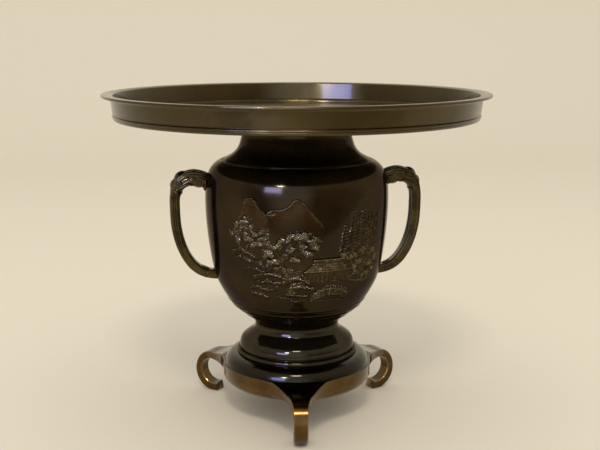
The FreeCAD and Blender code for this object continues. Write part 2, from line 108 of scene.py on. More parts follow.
def reach_of(node: str) -> float:
    """Furthest that a CAD node reaches from the axis along X, in millimetres.

    Args:
        node: the node's name.

    Returns:
        The distance from the axis.
    """
    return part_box(node)[1][0] / MM


# Lines


def smooth_line(stations: Sequence[Sequence[float]], spacing: float) -> np.ndarray:
    """A smooth line through given stations.

    Args:
        stations: points of two or more coordinates each.
        spacing: how far apart the returned points lie.

    Returns:
        The points along the line, first and last station included.
    """
    knots = np.array(stations, float)
    knots = np.vstack([2 * knots[0] - knots[1], knots, 2 * knots[-1] - knots[-2]])
    line = []
    for a, b, c, d in zip(knots, knots[1:], knots[2:], knots[3:]):
        span = np.linalg.norm((c - b)[:3])
        before = max(np.linalg.norm((b - a)[:3]), 1e-6)
        after = max(np.linalg.norm((d - c)[:3]), 1e-6)
        leave = ((b - a) / before * span + (c - b) * before / span) * span / (before + span)
        arrive = ((c - b) / span * after + (d - c) / after * span) * span / (span + after)
        steps = max(1, math.ceil(span / spacing))
        for t in np.arange(steps) / steps:
            line.append(
                b * (2 * t**3 - 3 * t**2 + 1)
                + leave * (t**3 - 2 * t**2 + t)
                + c * (3 * t**2 - 2 * t**3)
                + arrive * (t**3 - t**2)
            )
    line.append(knots[-2])
    return np.array(line)


def wall_inside(outline: Sequence[Point], wall: float) -> list[Point]:
    """The line that runs one wall thickness inside an outline that is drawn upwards.

    Args:
        outline: points of the outside, from the foot up.
        wall: thickness of the wall.

    Returns:
        The points of the inside, from the foot up.
    """
    points = np.array(outline)
    along = np.gradient(points, axis=0)
    along /= np.linalg.norm(along, axis=1)[:, None]
    inner = points + np.stack([-along[:, 1], along[:, 0]], axis=1) * wall
    return [(float(r), float(z)) for r, z in inner]


@dataclass
class Outline:
    """Half section of a turned piece as (distance from the axis, level), drawn corner by corner."""

    points: list[Point] = field(default_factory=list)
    rounds: list[float] = field(default_factory=list)

    def corner(self, radius: float, level: float, rounding: float = 0.0) -> None:
        """Adds a corner, with the radius that it is rounded to."""
        self.points.append((radius, level))
        self.rounds.append(rounding)

    def along(self, line: Sequence[Point]) -> None:
        """Adds the points of a smooth line."""
        for radius, level in line:
            self.corner(float(radius), float(level))

    def bow(self, end: Point, swell: float, steps: int = 8) -> None:
        """Adds an arc from the last point to the end.

        Args:
            end: where the arc ends.
            swell: how far the arc's middle stands off the chord, to the right of its way.
            steps: how many edges it is drawn with.
        """
        start = np.array(self.points[-1])
        chord = np.array(end) - start
        side = np.array([chord[1], -chord[0]]) / np.linalg.norm(chord)
        for i in range(1, steps + 1):
            t = i / steps
            radius, level = start + chord * t + side * swell * 4 * t * (1 - t)
            self.corner(float(radius), float(level))

    def drawn(self) -> list[Point]:
        """The closed outline with its corners rounded.

        Returns:
            The points to turn, in millimetres.
        """
        made: list[Point] = []
        count = len(self.points)
        for i, (corner, rounding) in enumerate(zip(self.points, self.rounds)):
            here = np.array(corner)
            if rounding == 0:
                made.append(corner)
                continue
            to_last = np.array(self.points[i - 1]) - here
            to_next = np.array(self.points[(i + 1) % count]) - here
            last_length, next_length = np.linalg.norm(to_last), np.linalg.norm(to_next)
            to_last, to_next = to_last / last_length, to_next / next_length
            half_turn = math.acos(max(-1.0, min(1.0, float(to_last @ to_next)))) / 2
            reach = min(rounding / math.tan(half_turn), last_length * 0.45, next_length * 0.45)
            for t in np.linspace(0, 1, 5):
                spot = here + to_last * reach * (1 - t) ** 2 + to_next * reach * t**2
                made.append((float(spot[0]), float(spot[1])))
        return [*made, made[0]]


# Shop practice


def clear_selection() -> None:
    """Leaves edit mode and deselects everything."""
    if bpy.context.object is not None and bpy.context.object.mode != "OBJECT":
        bpy.ops.object.mode_set(mode="OBJECT")
    bpy.ops.object.select_all(action="DESELECT")


def pick(piece: bpy.types.Object, *others: bpy.types.Object) -> None:
    """Selects the piece, with any others, and makes it the active one."""
    clear_selection()
    for one in (*others, piece):
        one.select_set(True)
    bpy.context.view_layer.objects.active = piece


def finish_skin(piece: bpy.types.Object, crease: float = 32.0) -> None:
    """Welds a mesh's seams and poles, closes its ends, turns its faces outwards and shades it smooth.

    Args:
        piece: the mesh object.
        crease: the angle in degrees past which an edge stays crisp.
    """
    pick(piece)
    bpy.ops.object.mode_set(mode="EDIT")
    bpy.ops.mesh.select_all(action="SELECT")
    bpy.ops.mesh.remove_doubles(threshold=WELD_DISTANCE * MM)
    bpy.ops.mesh.fill_holes(sides=0)
    bpy.ops.mesh.normals_make_consistent(inside=False)
    bpy.ops.object.mode_set(mode="OBJECT")
    bpy.ops.object.shade_smooth_by_angle(angle=math.radians(crease))


def turned_piece(name: str, outline: Sequence[Point], turns: int = 288) -> bpy.types.Object:
    """Turns an outline about the vase's axis.

    Args:
        name: the piece's name.
        outline: its closed half section in millimetres.
        turns: how many steps the turn is made in.

    Returns:
        The finished mesh object.
    """
    clear_selection()
    radius, level = outline[0]
    bpy.ops.mesh.primitive_plane_add(size=MM, location=(radius * MM, 0, level * MM))
    piece = bpy.context.object
    piece.name = name
    bpy.ops.object.transform_apply(location=True, rotation=True, scale=True)
    bpy.ops.object.mode_set(mode="EDIT")
    bpy.ops.mesh.select_all(action="SELECT")
    bpy.ops.mesh.merge(type="CENTER")
    for (radius, level), (next_radius, next_level) in zip(outline, outline[1:]):
        step = ((next_radius - radius) * MM, 0, (next_level - level) * MM)
        bpy.ops.mesh.extrude_region_move(TRANSFORM_OT_translate={"value": step})
    bpy.ops.mesh.select_all(action="SELECT")
    bpy.ops.mesh.spin(steps=turns, angle=math.tau, center=(0, 0, 0), axis=(0, 0, 1))
    finish_skin(piece)
    return piece


def wrapped_sheet(name: str, rows: int, columns: int, surface: Surface) -> bpy.types.Object:
    """Lays a grid over a surface.

    Args:
        name: the piece's name.
        rows: faces along the surface's first way.
        columns: faces along its second way.
        surface: gives the place in millimetres for two arrays of parts from 0 to 1.

    Returns:
        The mesh object, not yet welded.
    """
    clear_selection()
    bpy.ops.mesh.primitive_grid_add(x_subdivisions=rows, y_subdivisions=columns, size=1, location=(0, 0, 0))
    piece = bpy.context.object
    piece.name = name
    corners = np.empty(len(piece.data.vertices) * 3)
    piece.data.vertices.foreach_get("co", corners)
    flat = corners.reshape(-1, 3)
    placed = surface(flat[:, 0] + 0.5, flat[:, 1] + 0.5) * MM
    piece.data.vertices.foreach_set("co", placed.ravel())
    piece.data.update()
    return piece


def joined(name: str, parts: Sequence[bpy.types.Object]) -> bpy.types.Object:
    """Joins several meshes into one piece.

    Args:
        name: the joined piece's name.
        parts: the mesh objects, of which the first stays.

    Returns:
        The joined object.
    """
    pick(parts[0], *parts[1:])
    bpy.ops.object.join()
    piece = bpy.context.object
    piece.name = name
    return piece


def corners_of(piece: bpy.types.Object) -> np.ndarray:
    """All corners of a mesh, in millimetres.

    Args:
        piece: the mesh object.

    Returns:
        One row of x, y and z for each corner.
    """
    corners = np.empty(len(piece.data.vertices) * 3)
    piece.data.vertices.foreach_get("co", corners)
    return corners.reshape(-1, 3) / MM


def write_layer(piece: bpy.types.Object, name: str, values: np.ndarray) -> None:
    """Keeps one value from 0 to 1 for each corner, for the finishes to read.

    Args:
        piece: the mesh object.
        name: the attribute's name.
        values: one value for each corner.
    """
    layer = piece.data.attributes.new(name, "FLOAT", "POINT")
    layer.data.foreach_set("value", np.clip(values, 0, 1).astype(np.float32))


def bulge(piece: bpy.types.Object, full: float, passes: int = 2) -> np.ndarray:
    """How proud each corner stands of its neighbours: 0 in a hollow, 1 on a ridge.

    Args:
        piece: the mesh object.
        full: the bulge, as a share of the edge length, that counts as a full ridge.
        passes: how many times the result is averaged with its neighbours.

    Returns:
        One value for each corner.
    """
    mesh = piece.data
    corners = corners_of(piece)
    count = len(corners)
    normals = np.empty(count * 3)
    mesh.vertices.foreach_get("normal", normals)
    normals = normals.reshape(-1, 3)
    ends = np.empty(len(mesh.edges) * 2, dtype=np.int64)
    mesh.edges.foreach_get("vertices", ends)
    first, second = ends.reshape(-1, 2).T
    degree = np.bincount(first, minlength=count) + np.bincount(second, minlength=count)
    degree = np.maximum(degree, 1)

    def gathered(values: np.ndarray) -> np.ndarray:
        """Mean of each corner's neighbours."""
        total = np.bincount(first, values[second], count) + np.bincount(second, values[first], count)
        return total / degree

    offset = np.stack([gathered(corners[:, i]) - corners[:, i] for i in range(3)], axis=1)
    lengths = np.linalg.norm(corners[first] - corners[second], axis=1)
    mean_length = np.bincount(first, lengths, count) + np.bincount(second, lengths, count)
    mean_length = np.maximum(mean_length / degree, 1e-6)
    proud = -(offset * normals).sum(axis=1) / mean_length
    for _ in range(passes):
        proud = (proud + gathered(proud)) / 2
    return np.clip(0.5 + proud / full / 2, 0, 1)


def settle(
    piece: bpy.types.Object,
    body: Rides,
    finish: "Bronze",
    stands_for: Sequence[str] = (),
) -> None:
    """Gives a piece its finish and its place in the frame, and reports it.

    Args:
        piece: the mesh object.
        body: the CAD body that it moves with.
        finish: the material to dress it in.
        stands_for: the CAD nodes that it replaces.
    """
    piece.data.materials.clear()
    piece.data.materials.append(finish.material())
    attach(piece, body.value)
    if stands_for:
        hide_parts(*stands_for)
    LOG.info("%s: %d faces in %s", piece.name, len(piece.data.polygons), finish.name)


# Finishes


def linear(code: str) -> tuple[float, float, float, float]:
    """An sRGB hex colour as the linear colour that shaders take.

    Args:
        code: the colour as #rrggbb.

    Returns:
        Red, green, blue and an alpha of 1.
    """
    parts = [int(code[i : i + 2], 16) / 255 for i in (1, 3, 5)]
    red, green, blue = [p / 12.92 if p <= 0.04045 else ((p + 0.055) / 1.055) ** 2.4 for p in parts]
    return red, green, blue, 1.0


def add_node(
    tree: bpy.types.NodeTree,
    kind: str,
    inputs: Optional[dict[Union[int, str], Feed]] = None,
    **settings,
) -> bpy.types.Node:
    """Adds a shader node.

    Args:
        tree: the node tree.
        kind: the node's type name.
        inputs: for each input's name or number a value, a colour as #rrggbb, or the socket that feeds it.
        **settings: the node's own settings.

    Returns:
        The new node.
    """
    node = tree.nodes.new(kind)
    for key, value in settings.items():
        setattr(node, key, value)
    for key, value in (inputs or {}).items():
        if isinstance(value, bpy.types.NodeSocket):
            tree.links.new(value, node.inputs[key])
        else:
            node.inputs[key].default_value = linear(value) if isinstance(value, str) else value
    return node


def blend(
    tree: bpy.types.NodeTree,
    share: Feed,
    under: Feed,
    over: Feed,
    way: str = "MIX",
) -> bpy.types.NodeSocket:
    """Mixes two colours.

    Args:
        tree: the node tree.
        share: how much of the upper colour shows, from 0 to 1.
        under: the lower colour.
        over: the upper colour.
        way: how the upper is laid over the lower.

    Returns:
        The mixed colour.
    """
    return add_node(
        tree,
        "ShaderNodeMix",
        {0: share, 6: under, 7: over},
        data_type="RGBA",
        blend_type=way,
    ).outputs[2]


def spread(
    tree: bpy.types.NodeTree,
    value: Feed,
    source: Point,
    target: Point = (0.0, 1.0),
    curve: str = "SMOOTHSTEP",
) -> bpy.types.NodeSocket:
    """Maps a value from one range onto another and holds it at the ends.

    Args:
        tree: the node tree.
        value: the value to map.
        source: the range that it comes from.
        target: the range that it goes to.
        curve: how it runs between the ends.

    Returns:
        The mapped value.
    """
    low, high = source
    start, end = target
    return add_node(
        tree,
        "ShaderNodeMapRange",
        {"Value": value, "From Min": low, "From Max": high, "To Min": start, "To Max": end},
        interpolation_type=curve,
    ).outputs[0]


def axis_distance(tree: bpy.types.NodeTree, place: bpy.types.NodeSocket) -> bpy.types.NodeSocket:
    """Distance of a place from the vase's axis, in metres."""
    flat = add_node(tree, "ShaderNodeVectorMath", {0: place, 1: (1, 1, 0)}, operation="MULTIPLY")
    return add_node(tree, "ShaderNodeVectorMath", {0: flat.outputs[0]}, operation="LENGTH").outputs["Value"]


def bare_material(name: str) -> tuple[bpy.types.Material, bpy.types.NodeTree]:
    """A new material and its node tree, still empty."""
    made = bpy.data.materials.new(name)
    made.use_nodes = True
    made.node_tree.nodes.clear()
    return made, made.node_tree


@dataclass(frozen=True)
class Bronze:
    """Cast bronze, turned or chased, then coloured with a chemical patina and waxed.

    The eye sees a dark mirror: a tinted metal under a thin clear wax, with clouds where the patina took
    unevenly, a fine grain, and a lighter rubbed metal on what stands proud.

    Attributes:
        name: the finish's name.
        deep: the patina's darker colour.
        light: the patina's lighter colour.
        rubbed: the metal's colour where hands and cloths have rubbed it, or nothing.
        rub: how much of the rubbed colour shows on what stands proud.
        roughness: how dull the metal is.
        unevenness: the dullness between the clouds and in them, as shares of the roughness.
        wax: how much clear wax lies over it.
        wax_roughness: how dull the wax is.
        cloud: size of the patina's clouds, in millimetres.
        cloud_edge: the noise values between which a cloud fades in.
        grain: size of the fine grain, in millimetres.
        grain_depth: how deep the grain is, in millimetres.
        lathe: spacing of the turning lines, in millimetres, or 0 where the piece wasn't turned.
        lathe_depth: how deep the turning lines are, in millimetres.
        lathe_colour: how much the turning lines darken and lighten the colour.
        rub_from: the wear at which the rubbed colour starts.
        rub_fade: how much more wear makes it whole.
        metallic: how much of the surface is metal and not dull oxide.
        edge: what the metal mirrors at a glancing angle, less than white where the patina is thick.
        tint: a second patina colour that shows where the attribute "tint" is high, or nothing.
        top: the dark colour on faces that look up, while the sides keep the lighter colours as a painted
            reflection of a warm floor, or nothing.
        top_kept: how far from the axis the dark top colour is still whole, in millimetres.
        painted_reflection_from: how far from the axis the dark top has given way wholly to the painted
            reflection, in millimetres.
        top_slope: how far up a face looks, from 0 to 1, between none and all of the top colour.
        brushed: how far the turning lines stretch a reflection across themselves.
    """

    name: str
    deep: str
    light: str
    rubbed: str = ""
    rub: float = 0.0
    roughness: float = 0.2
    unevenness: Point = (0.75, 1.3)
    wax: float = 0.5
    wax_roughness: float = 0.07
    cloud: float = 24.0
    cloud_edge: Point = (0.3, 0.7)
    grain: float = 1.4
    grain_depth: float = 0.012
    lathe: float = 0.0
    lathe_depth: float = 0.01
    lathe_colour: float = 0.16
    rub_from: float = 0.52
    rub_fade: float = 0.3
    metallic: float = 1.0
    edge: str = "#ffffff"
    tint: str = ""
    top: str = ""
    top_kept: float = 74.0
    painted_reflection_from: float = 88.0
    top_slope: Point = (0.06, 0.25)
    brushed: float = 0.0

    def material(self) -> bpy.types.Material:
        """The finish as a material, made once."""
        known = bpy.data.materials.get(self.name)
        if known is not None:
            return known
        made, tree = bare_material(self.name)
        place = add_node(tree, "ShaderNodeTexCoord").outputs["Object"]
        clouds = self._clouds(tree, place)
        colour = self._colour(tree, place, clouds)
        lines = self._turning_lines(tree, place) if self.lathe else None
        if lines is not None:
            colour = blend(tree, self.lathe_colour, colour, lines, "OVERLAY")
        least, most = self.unevenness
        dullness = (self.roughness * least, self.roughness * most)
        round_axis = add_node(
            tree,
            "ShaderNodeVectorMath",
            {0: (0, 0, 1), 1: place},
            operation="CROSS_PRODUCT",
        )
        shader = add_node(
            tree,
            "ShaderNodeBsdfPrincipled",
            {
                "Base Color": colour,
                "Metallic": self.metallic,
                "Anisotropic": self.brushed,
                "Anisotropic Rotation": 0.25,
                "Tangent": round_axis.outputs[0],
                "Specular Tint": self.edge,
                "Roughness": spread(tree, clouds, (0, 1), dullness, "LINEAR"),
                "Coat Weight": self.wax,
                "Coat Roughness": self.wax_roughness,
                "Normal": self._grain(tree, place, lines),
            },
        )
        add_node(tree, "ShaderNodeOutputMaterial", {"Surface": shader.outputs[0]})
        return made

    def _clouds(self, tree: bpy.types.NodeTree, place: bpy.types.NodeSocket) -> bpy.types.NodeSocket:
        """Uneven patches of patina, from 0 to 1."""
        noise = add_node(
            tree,
            "ShaderNodeTexNoise",
            {"Vector": place, "Scale": 1 / (self.cloud * MM), "Detail": 5.0, "Roughness": 0.62},
        )
        return spread(tree, noise.outputs[0], self.cloud_edge)

    def _colour(
        self,
        tree: bpy.types.NodeTree,
        place: bpy.types.NodeSocket,
        clouds: bpy.types.NodeSocket,
    ) -> bpy.types.NodeSocket:
        """Patina in clouds, its second tint, a painted dark top on faces that look up, and rubbed metal where
        the wear is high.
        """
        colour = blend(tree, clouds, self.deep, self.light)
        if self.tint:
            tinted = add_node(tree, "ShaderNodeAttribute", attribute_name="tint").outputs["Fac"]
            colour = blend(tree, tinted, colour, self.tint)
        if self.top:
            # Painted light: faces that look up go dark near the axis, and the sides keep lighter colours as a
            # painted reflection of a warm floor.
            colour = blend(tree, self._dark_top_over_painted_reflection(tree, place), colour, self.top)
        if self.rub:
            wear = add_node(tree, "ShaderNodeAttribute", attribute_name="wear").outputs["Fac"]
            amount = spread(tree, wear, (self.rub_from, self.rub_from + self.rub_fade), (0, self.rub))
            colour = blend(tree, amount, colour, self.rubbed)
        return colour

    def _dark_top_over_painted_reflection(self, tree: bpy.types.NodeTree, place: bpy.types.NodeSocket) -> bpy.types.NodeSocket:
        """Share of the dark top: whole on faces that look up near the axis, none on sides and far out, where
        the lighter colours stand for a painted reflection of a warm floor.
        """
        facing = add_node(tree, "ShaderNodeNewGeometry").outputs["Normal"]
        up = add_node(tree, "ShaderNodeSeparateXYZ", {0: facing}).outputs[2]
        looks_up = spread(tree, up, self.top_slope)
        near = spread(tree, axis_distance(tree, place), (self.painted_reflection_from * MM, self.top_kept * MM))
        return add_node(tree, "ShaderNodeMath", {0: near, 1: looks_up}, operation="MULTIPLY").outputs[0]

    def _turning_lines(self, tree: bpy.types.NodeTree, place: bpy.types.NodeSocket) -> bpy.types.NodeSocket:
        """Fine lines round the axis, which a lathe tool and the polishing after it leave."""
        level = add_node(tree, "ShaderNodeSeparateXYZ", {0: place}).outputs[2]
        along = add_node(tree, "ShaderNodeMath", {0: axis_distance(tree, place), 1: level})
        noise = add_node(
            tree,
            "ShaderNodeTexNoise",
            {"W": along.outputs[0], "Scale": 1 / (self.lathe * MM), "Detail": 3.0, "Roughness": 0.7},
            noise_dimensions="1D",
        )
        return noise.outputs[0]

    def _grain(
        self,
        tree: bpy.types.NodeTree,
        place: bpy.types.NodeSocket,
        lines: Optional[bpy.types.NodeSocket],
    ) -> bpy.types.NodeSocket:
        """Bumps of the cast grain, with the turning lines over them."""
        noise = add_node(
            tree,
            "ShaderNodeTexNoise",
            {"Vector": place, "Scale": 1 / (self.grain * MM), "Detail": 2.0},
        )
        bump = add_node(
            tree,
            "ShaderNodeBump",
            {"Strength": 1.0, "Distance": self.grain_depth * MM, "Height": noise.outputs[0]},
        )
        if lines is None:
            return bump.outputs[0]
        turned = add_node(
            tree,
            "ShaderNodeBump",
            {
                "Strength": 1.0,
                "Distance": self.lathe_depth * MM,
                "Height": lines,
                "Normal": bump.outputs[0],
            },
        )
        return turned.outputs[0]


# Brown-black patina under wax: a dark mirror with a brown depth.
BODY_FINISH = Bronze(
    "brown_black_patina", "#292216", "#382d1b",
    roughness=0.14, wax=0.1, cloud=30, lathe=1.6, lathe_depth=0.003, metallic=0.85, edge="#a79c88",
)
# The same patina over the chased landscape, rubbed back to pale greenish bronze on the high spots and left
# brown on the far mountains.
RELIEF_FINISH = Bronze(
    "rubbed_relief_patina", "#292216", "#382d1b", "#8b8160",
    rub=0.6, roughness=0.14, wax=0.1, cloud=30, grain=0.9, grain_depth=0.02, rub_from=0.46,
    metallic=0.85, edge="#a79c88", tint="#3f2f1a",
)
# Nearly black patina of the pedestal, polished like the body.
PEDESTAL_FINISH = Bronze(
    "black_patina", "#28241b", "#373124",
    roughness=0.12, wax=0.2, cloud=26, lathe=1.4, lathe_depth=0.004, metallic=0.85, edge="#b0a999",
)
# Olive-brown lacquered bronze of the dish, where the turning lines show through.
DISH_FINISH = Bronze(
    "olive_lacquered_bronze", "#41381f", "#514529",
    roughness=0.27, wax=0.3, cloud=60, lathe=0.9, lathe_depth=0.01, brushed=0.8,
)
# Greenish brown of the handles, cast and chased, lighter where hands hold them.
HANDLE_FINISH = Bronze(
    "handled_bronze", "#2f2812", "#50431f", "#75683f",
    rub=0.4, roughness=0.25, wax=0.2, cloud=12, grain=0.9, grain_depth=0.02, metallic=0.9, rub_from=0.58,
)
# Stand: golden brown sides, a painted reflection of a warm floor, under a dark top painted onto faces that
# look up, with bright rubbed edges between them.
STAND_FINISH = Bronze(
    "stand_patina_painted_reflection", "#4d3a1b", "#664b22", "#b79f66",
    rub=0.85, roughness=0.17, wax=0.2, cloud=20, rub_from=0.56, top="#26221a",
)
# Turned brass of the hidden fastenings, dull with age.
BRASS_FINISH = Bronze(
    "aged_brass", "#7c6433", "#a58848",
    roughness=0.42, wax=0.0, cloud=8, grain=0.6, grain_depth=0.02, lathe=0.5, lathe_depth=0.02,
)
# Inside of the castings: rough, oxidised and never polished.
CAST_FINISH = Bronze(
    "raw_cast_bronze", "#33271a", "#54412a",
    roughness=0.55, wax=0.0, cloud=9, grain=1.1, grain_depth=0.08,
)


# Dish


@dataclass
class Dish:
    """Wide shallow dish with a flat lip, an upright wall, a groove and a bead at the wall's foot."""

    lip_width: float = 7.0
    lip_thickness: float = 2.0
    wall: float = 2.4
    wall_taper: float = 1.2
    floor: float = 2.8
    groove: float = 0.9
    groove_depth: float = 0.9
    bead: float = 1.9
    bead_swell: float = 0.75
    bead_set_back: float = 0.3
    cove: float = 2.2
    foot_round: float = 2.8
    inner_round: float = 2.5
    hole: float = 38.05

    def outline(self) -> list[Point]:
        """Half section of the dish."""
        top = top_of("top_dish")
        foot = foot_of("top_dish")
        lip = reach_of("top_dish")
        wall_top = lip - self.lip_width
        wall_foot = wall_top - self.wall_taper
        bead_low = foot + self.foot_round * 0.8
        bead_high = bead_low + self.bead
        drawn = Outline()
        drawn.corner(self.hole, foot)
        drawn.corner(wall_foot - self.foot_round * 1.1, foot)
        drawn.bow((wall_foot - self.bead_set_back, bead_low - 0.4), self.foot_round * 0.3)
        drawn.corner(wall_foot - 0.5, bead_low)
        drawn.bow((wall_foot - self.bead_set_back, bead_high), self.bead_swell)
        drawn.corner(wall_foot - self.groove_depth, bead_high + self.groove * 0.3)
        drawn.corner(wall_foot - self.groove_depth, bead_high + self.groove * 0.8)
        drawn.corner(wall_foot, bead_high + self.groove, 0.35)
        drawn.corner(wall_top - 0.1, top - self.lip_thickness - self.cove)
        drawn.bow((wall_top + 2.0, top - self.lip_thickness), -0.5)
        drawn.corner(lip, top - self.lip_thickness, 0.5)
        drawn.corner(lip, top, 1.4)
        drawn.corner(wall_top + 0.3, top - 0.15, 0.4)
        drawn.corner(wall_top - self.wall + 0.4, top - 0.9, 0.5)
        drawn.corner(wall_foot - self.wall, foot + self.floor + self.inner_round)
        drawn.bow((wall_foot - self.wall - self.inner_round, foot + self.floor), 0.6)
        drawn.corner(self.hole, foot + self.floor)
        return drawn.drawn()

    def build(self) -> None:
        """Turns the dish and dresses it, with its spigot."""
        dish = turned_piece("dish", self.outline(), turns=432)
        settle(dish, Rides.DISH, DISH_FINISH, ["top_dish"])
        dress_node("dish_spigot", DISH_FINISH)


# Neck and body


@dataclass
class Neck:
    """Neck that flares to the seam line on the shoulder, with the seat for the dish on top."""

    bore: float = 38.5
    seat: float = 46.0
    seat_height: float = 2.6
    stem: tuple[Point, ...] = ((43.0, 228.4), (43.0, 224.6), (44.0, 219.8), (46.4, 213.4), (50.0, 209.2))
    flare_end: Point = (56.6, 205.2)
    rim_width: float = 4.0
    bore_rise: float = 10.0

    def outline(self) -> list[Point]:
        """Half section of the neck."""
        top = top_of("neck_collar")
        foot = foot_of("neck_collar")
        rim = reach_of("neck_collar")
        drawn = Outline()
        drawn.corner(rim - self.rim_width, foot)
        drawn.corner(rim, foot)
        drawn.corner(rim, self.flare_end[1] - 0.9, 0.3)
        drawn.along(smooth_line([*self.stem, self.flare_end], 0.7)[::-1])
        drawn.bow((self.seat, top - self.seat_height), -0.5)
        drawn.corner(self.seat, top, 0.5)
        drawn.corner(self.bore, top, 0.4)
        drawn.corner(self.bore, self.flare_end[1] + self.bore_rise)
        return drawn.drawn()

    def build(self) -> None:
        """Turns the neck and dresses it."""
        neck = turned_piece("neck", self.outline())
        settle(neck, Rides.VASE, BODY_FINISH, ["neck_collar"])


@dataclass
class Body:
    """Hollow body: full shoulder, long belly, bowl drawn in to the waist, with fine turned rings low down."""

    wall: float = 3.2
    stations: tuple[Point, ...] = (
        (33.6, 73.2), (36.0, 76.4), (41.5, 81.0), (46.8, 85.2), (52.4, 90.2), (56.4, 96.0), (60.0, 102.0),
        (64.0, 110.0), (67.2, 122.0), (69.4, 135.0), (71.2, 150.0), (72.2, 165.0), (72.35, 176.0),
        (71.7, 186.0), (70.2, 192.6), (67.2, 198.4), (63.0, 202.2), (58.6, 204.2),
    )
    ring_levels: tuple[float, ...] = (81.5, 86.0, 89.6, 94.0)
    ring_height: float = 0.4
    ring_width: float = 0.45
    seam: float = 0.1
    bead_width: float = 1.2
    ledge_width: float = 4.0
    ledge_depth: float = 3.4

    def skin(self) -> np.ndarray:
        """Outside of the body from the waist to the seam, with the turned rings on it."""
        line = smooth_line(self.stations, 0.45)
        along = np.gradient(line, axis=0)
        along /= np.linalg.norm(along, axis=1)[:, None]
        outwards = np.stack([along[:, 1], -along[:, 0]], axis=1)
        rise = sum(np.exp(-(((line[:, 1] - level) / self.ring_width) ** 2)) for level in self.ring_levels)
        return line + outwards * (rise * self.ring_height)[:, None]

    def radius_at(self, level: np.ndarray) -> np.ndarray:
        """Distance from the axis to the plain outside at each level."""
        line = smooth_line(self.stations, 0.5)
        return np.interp(level, line[:, 1], line[:, 0])

    def widest(self) -> float:
        """The body's largest radius."""
        return max(radius for radius, _ in self.stations)

    def outline(self) -> list[Point]:
        """Half section of the body."""
        foot = foot_of("body_shell")
        top = top_of("body_shell")
        skin = self.skin()
        skin[-1, 1] = min(skin[-1, 1], top)
        inner = wall_inside(smooth_line(self.stations[:-2], 2.0), self.wall)
        mouth = reach_of("neck_collar")
        drawn = Outline()
        drawn.corner(self.stations[0][0] - self.wall, foot)
        drawn.corner(self.stations[0][0], foot)
        drawn.along([(radius, min(level, top)) for radius, level in skin[:-4]])
        drawn.corner(mouth + self.bead_width + 0.1, top - 0.9, 0.2)
        drawn.corner(mouth + self.bead_width - 0.1, top, 0.35)
        drawn.corner(mouth + self.seam, top, 0.3)
        drawn.corner(mouth + self.seam, top - self.ledge_depth)
        drawn.corner(mouth - self.ledge_width, top - self.ledge_depth)
        drawn.along(inner[::-1])
        return drawn.drawn()

    def build(self) -> None:
        """Turns the body and dresses it, with its floor."""
        body = turned_piece("body", self.outline())
        settle(body, Rides.VASE, BODY_FINISH, ["body_shell"])
        dress_node("body_floor", CAST_FINISH)


# Low relief


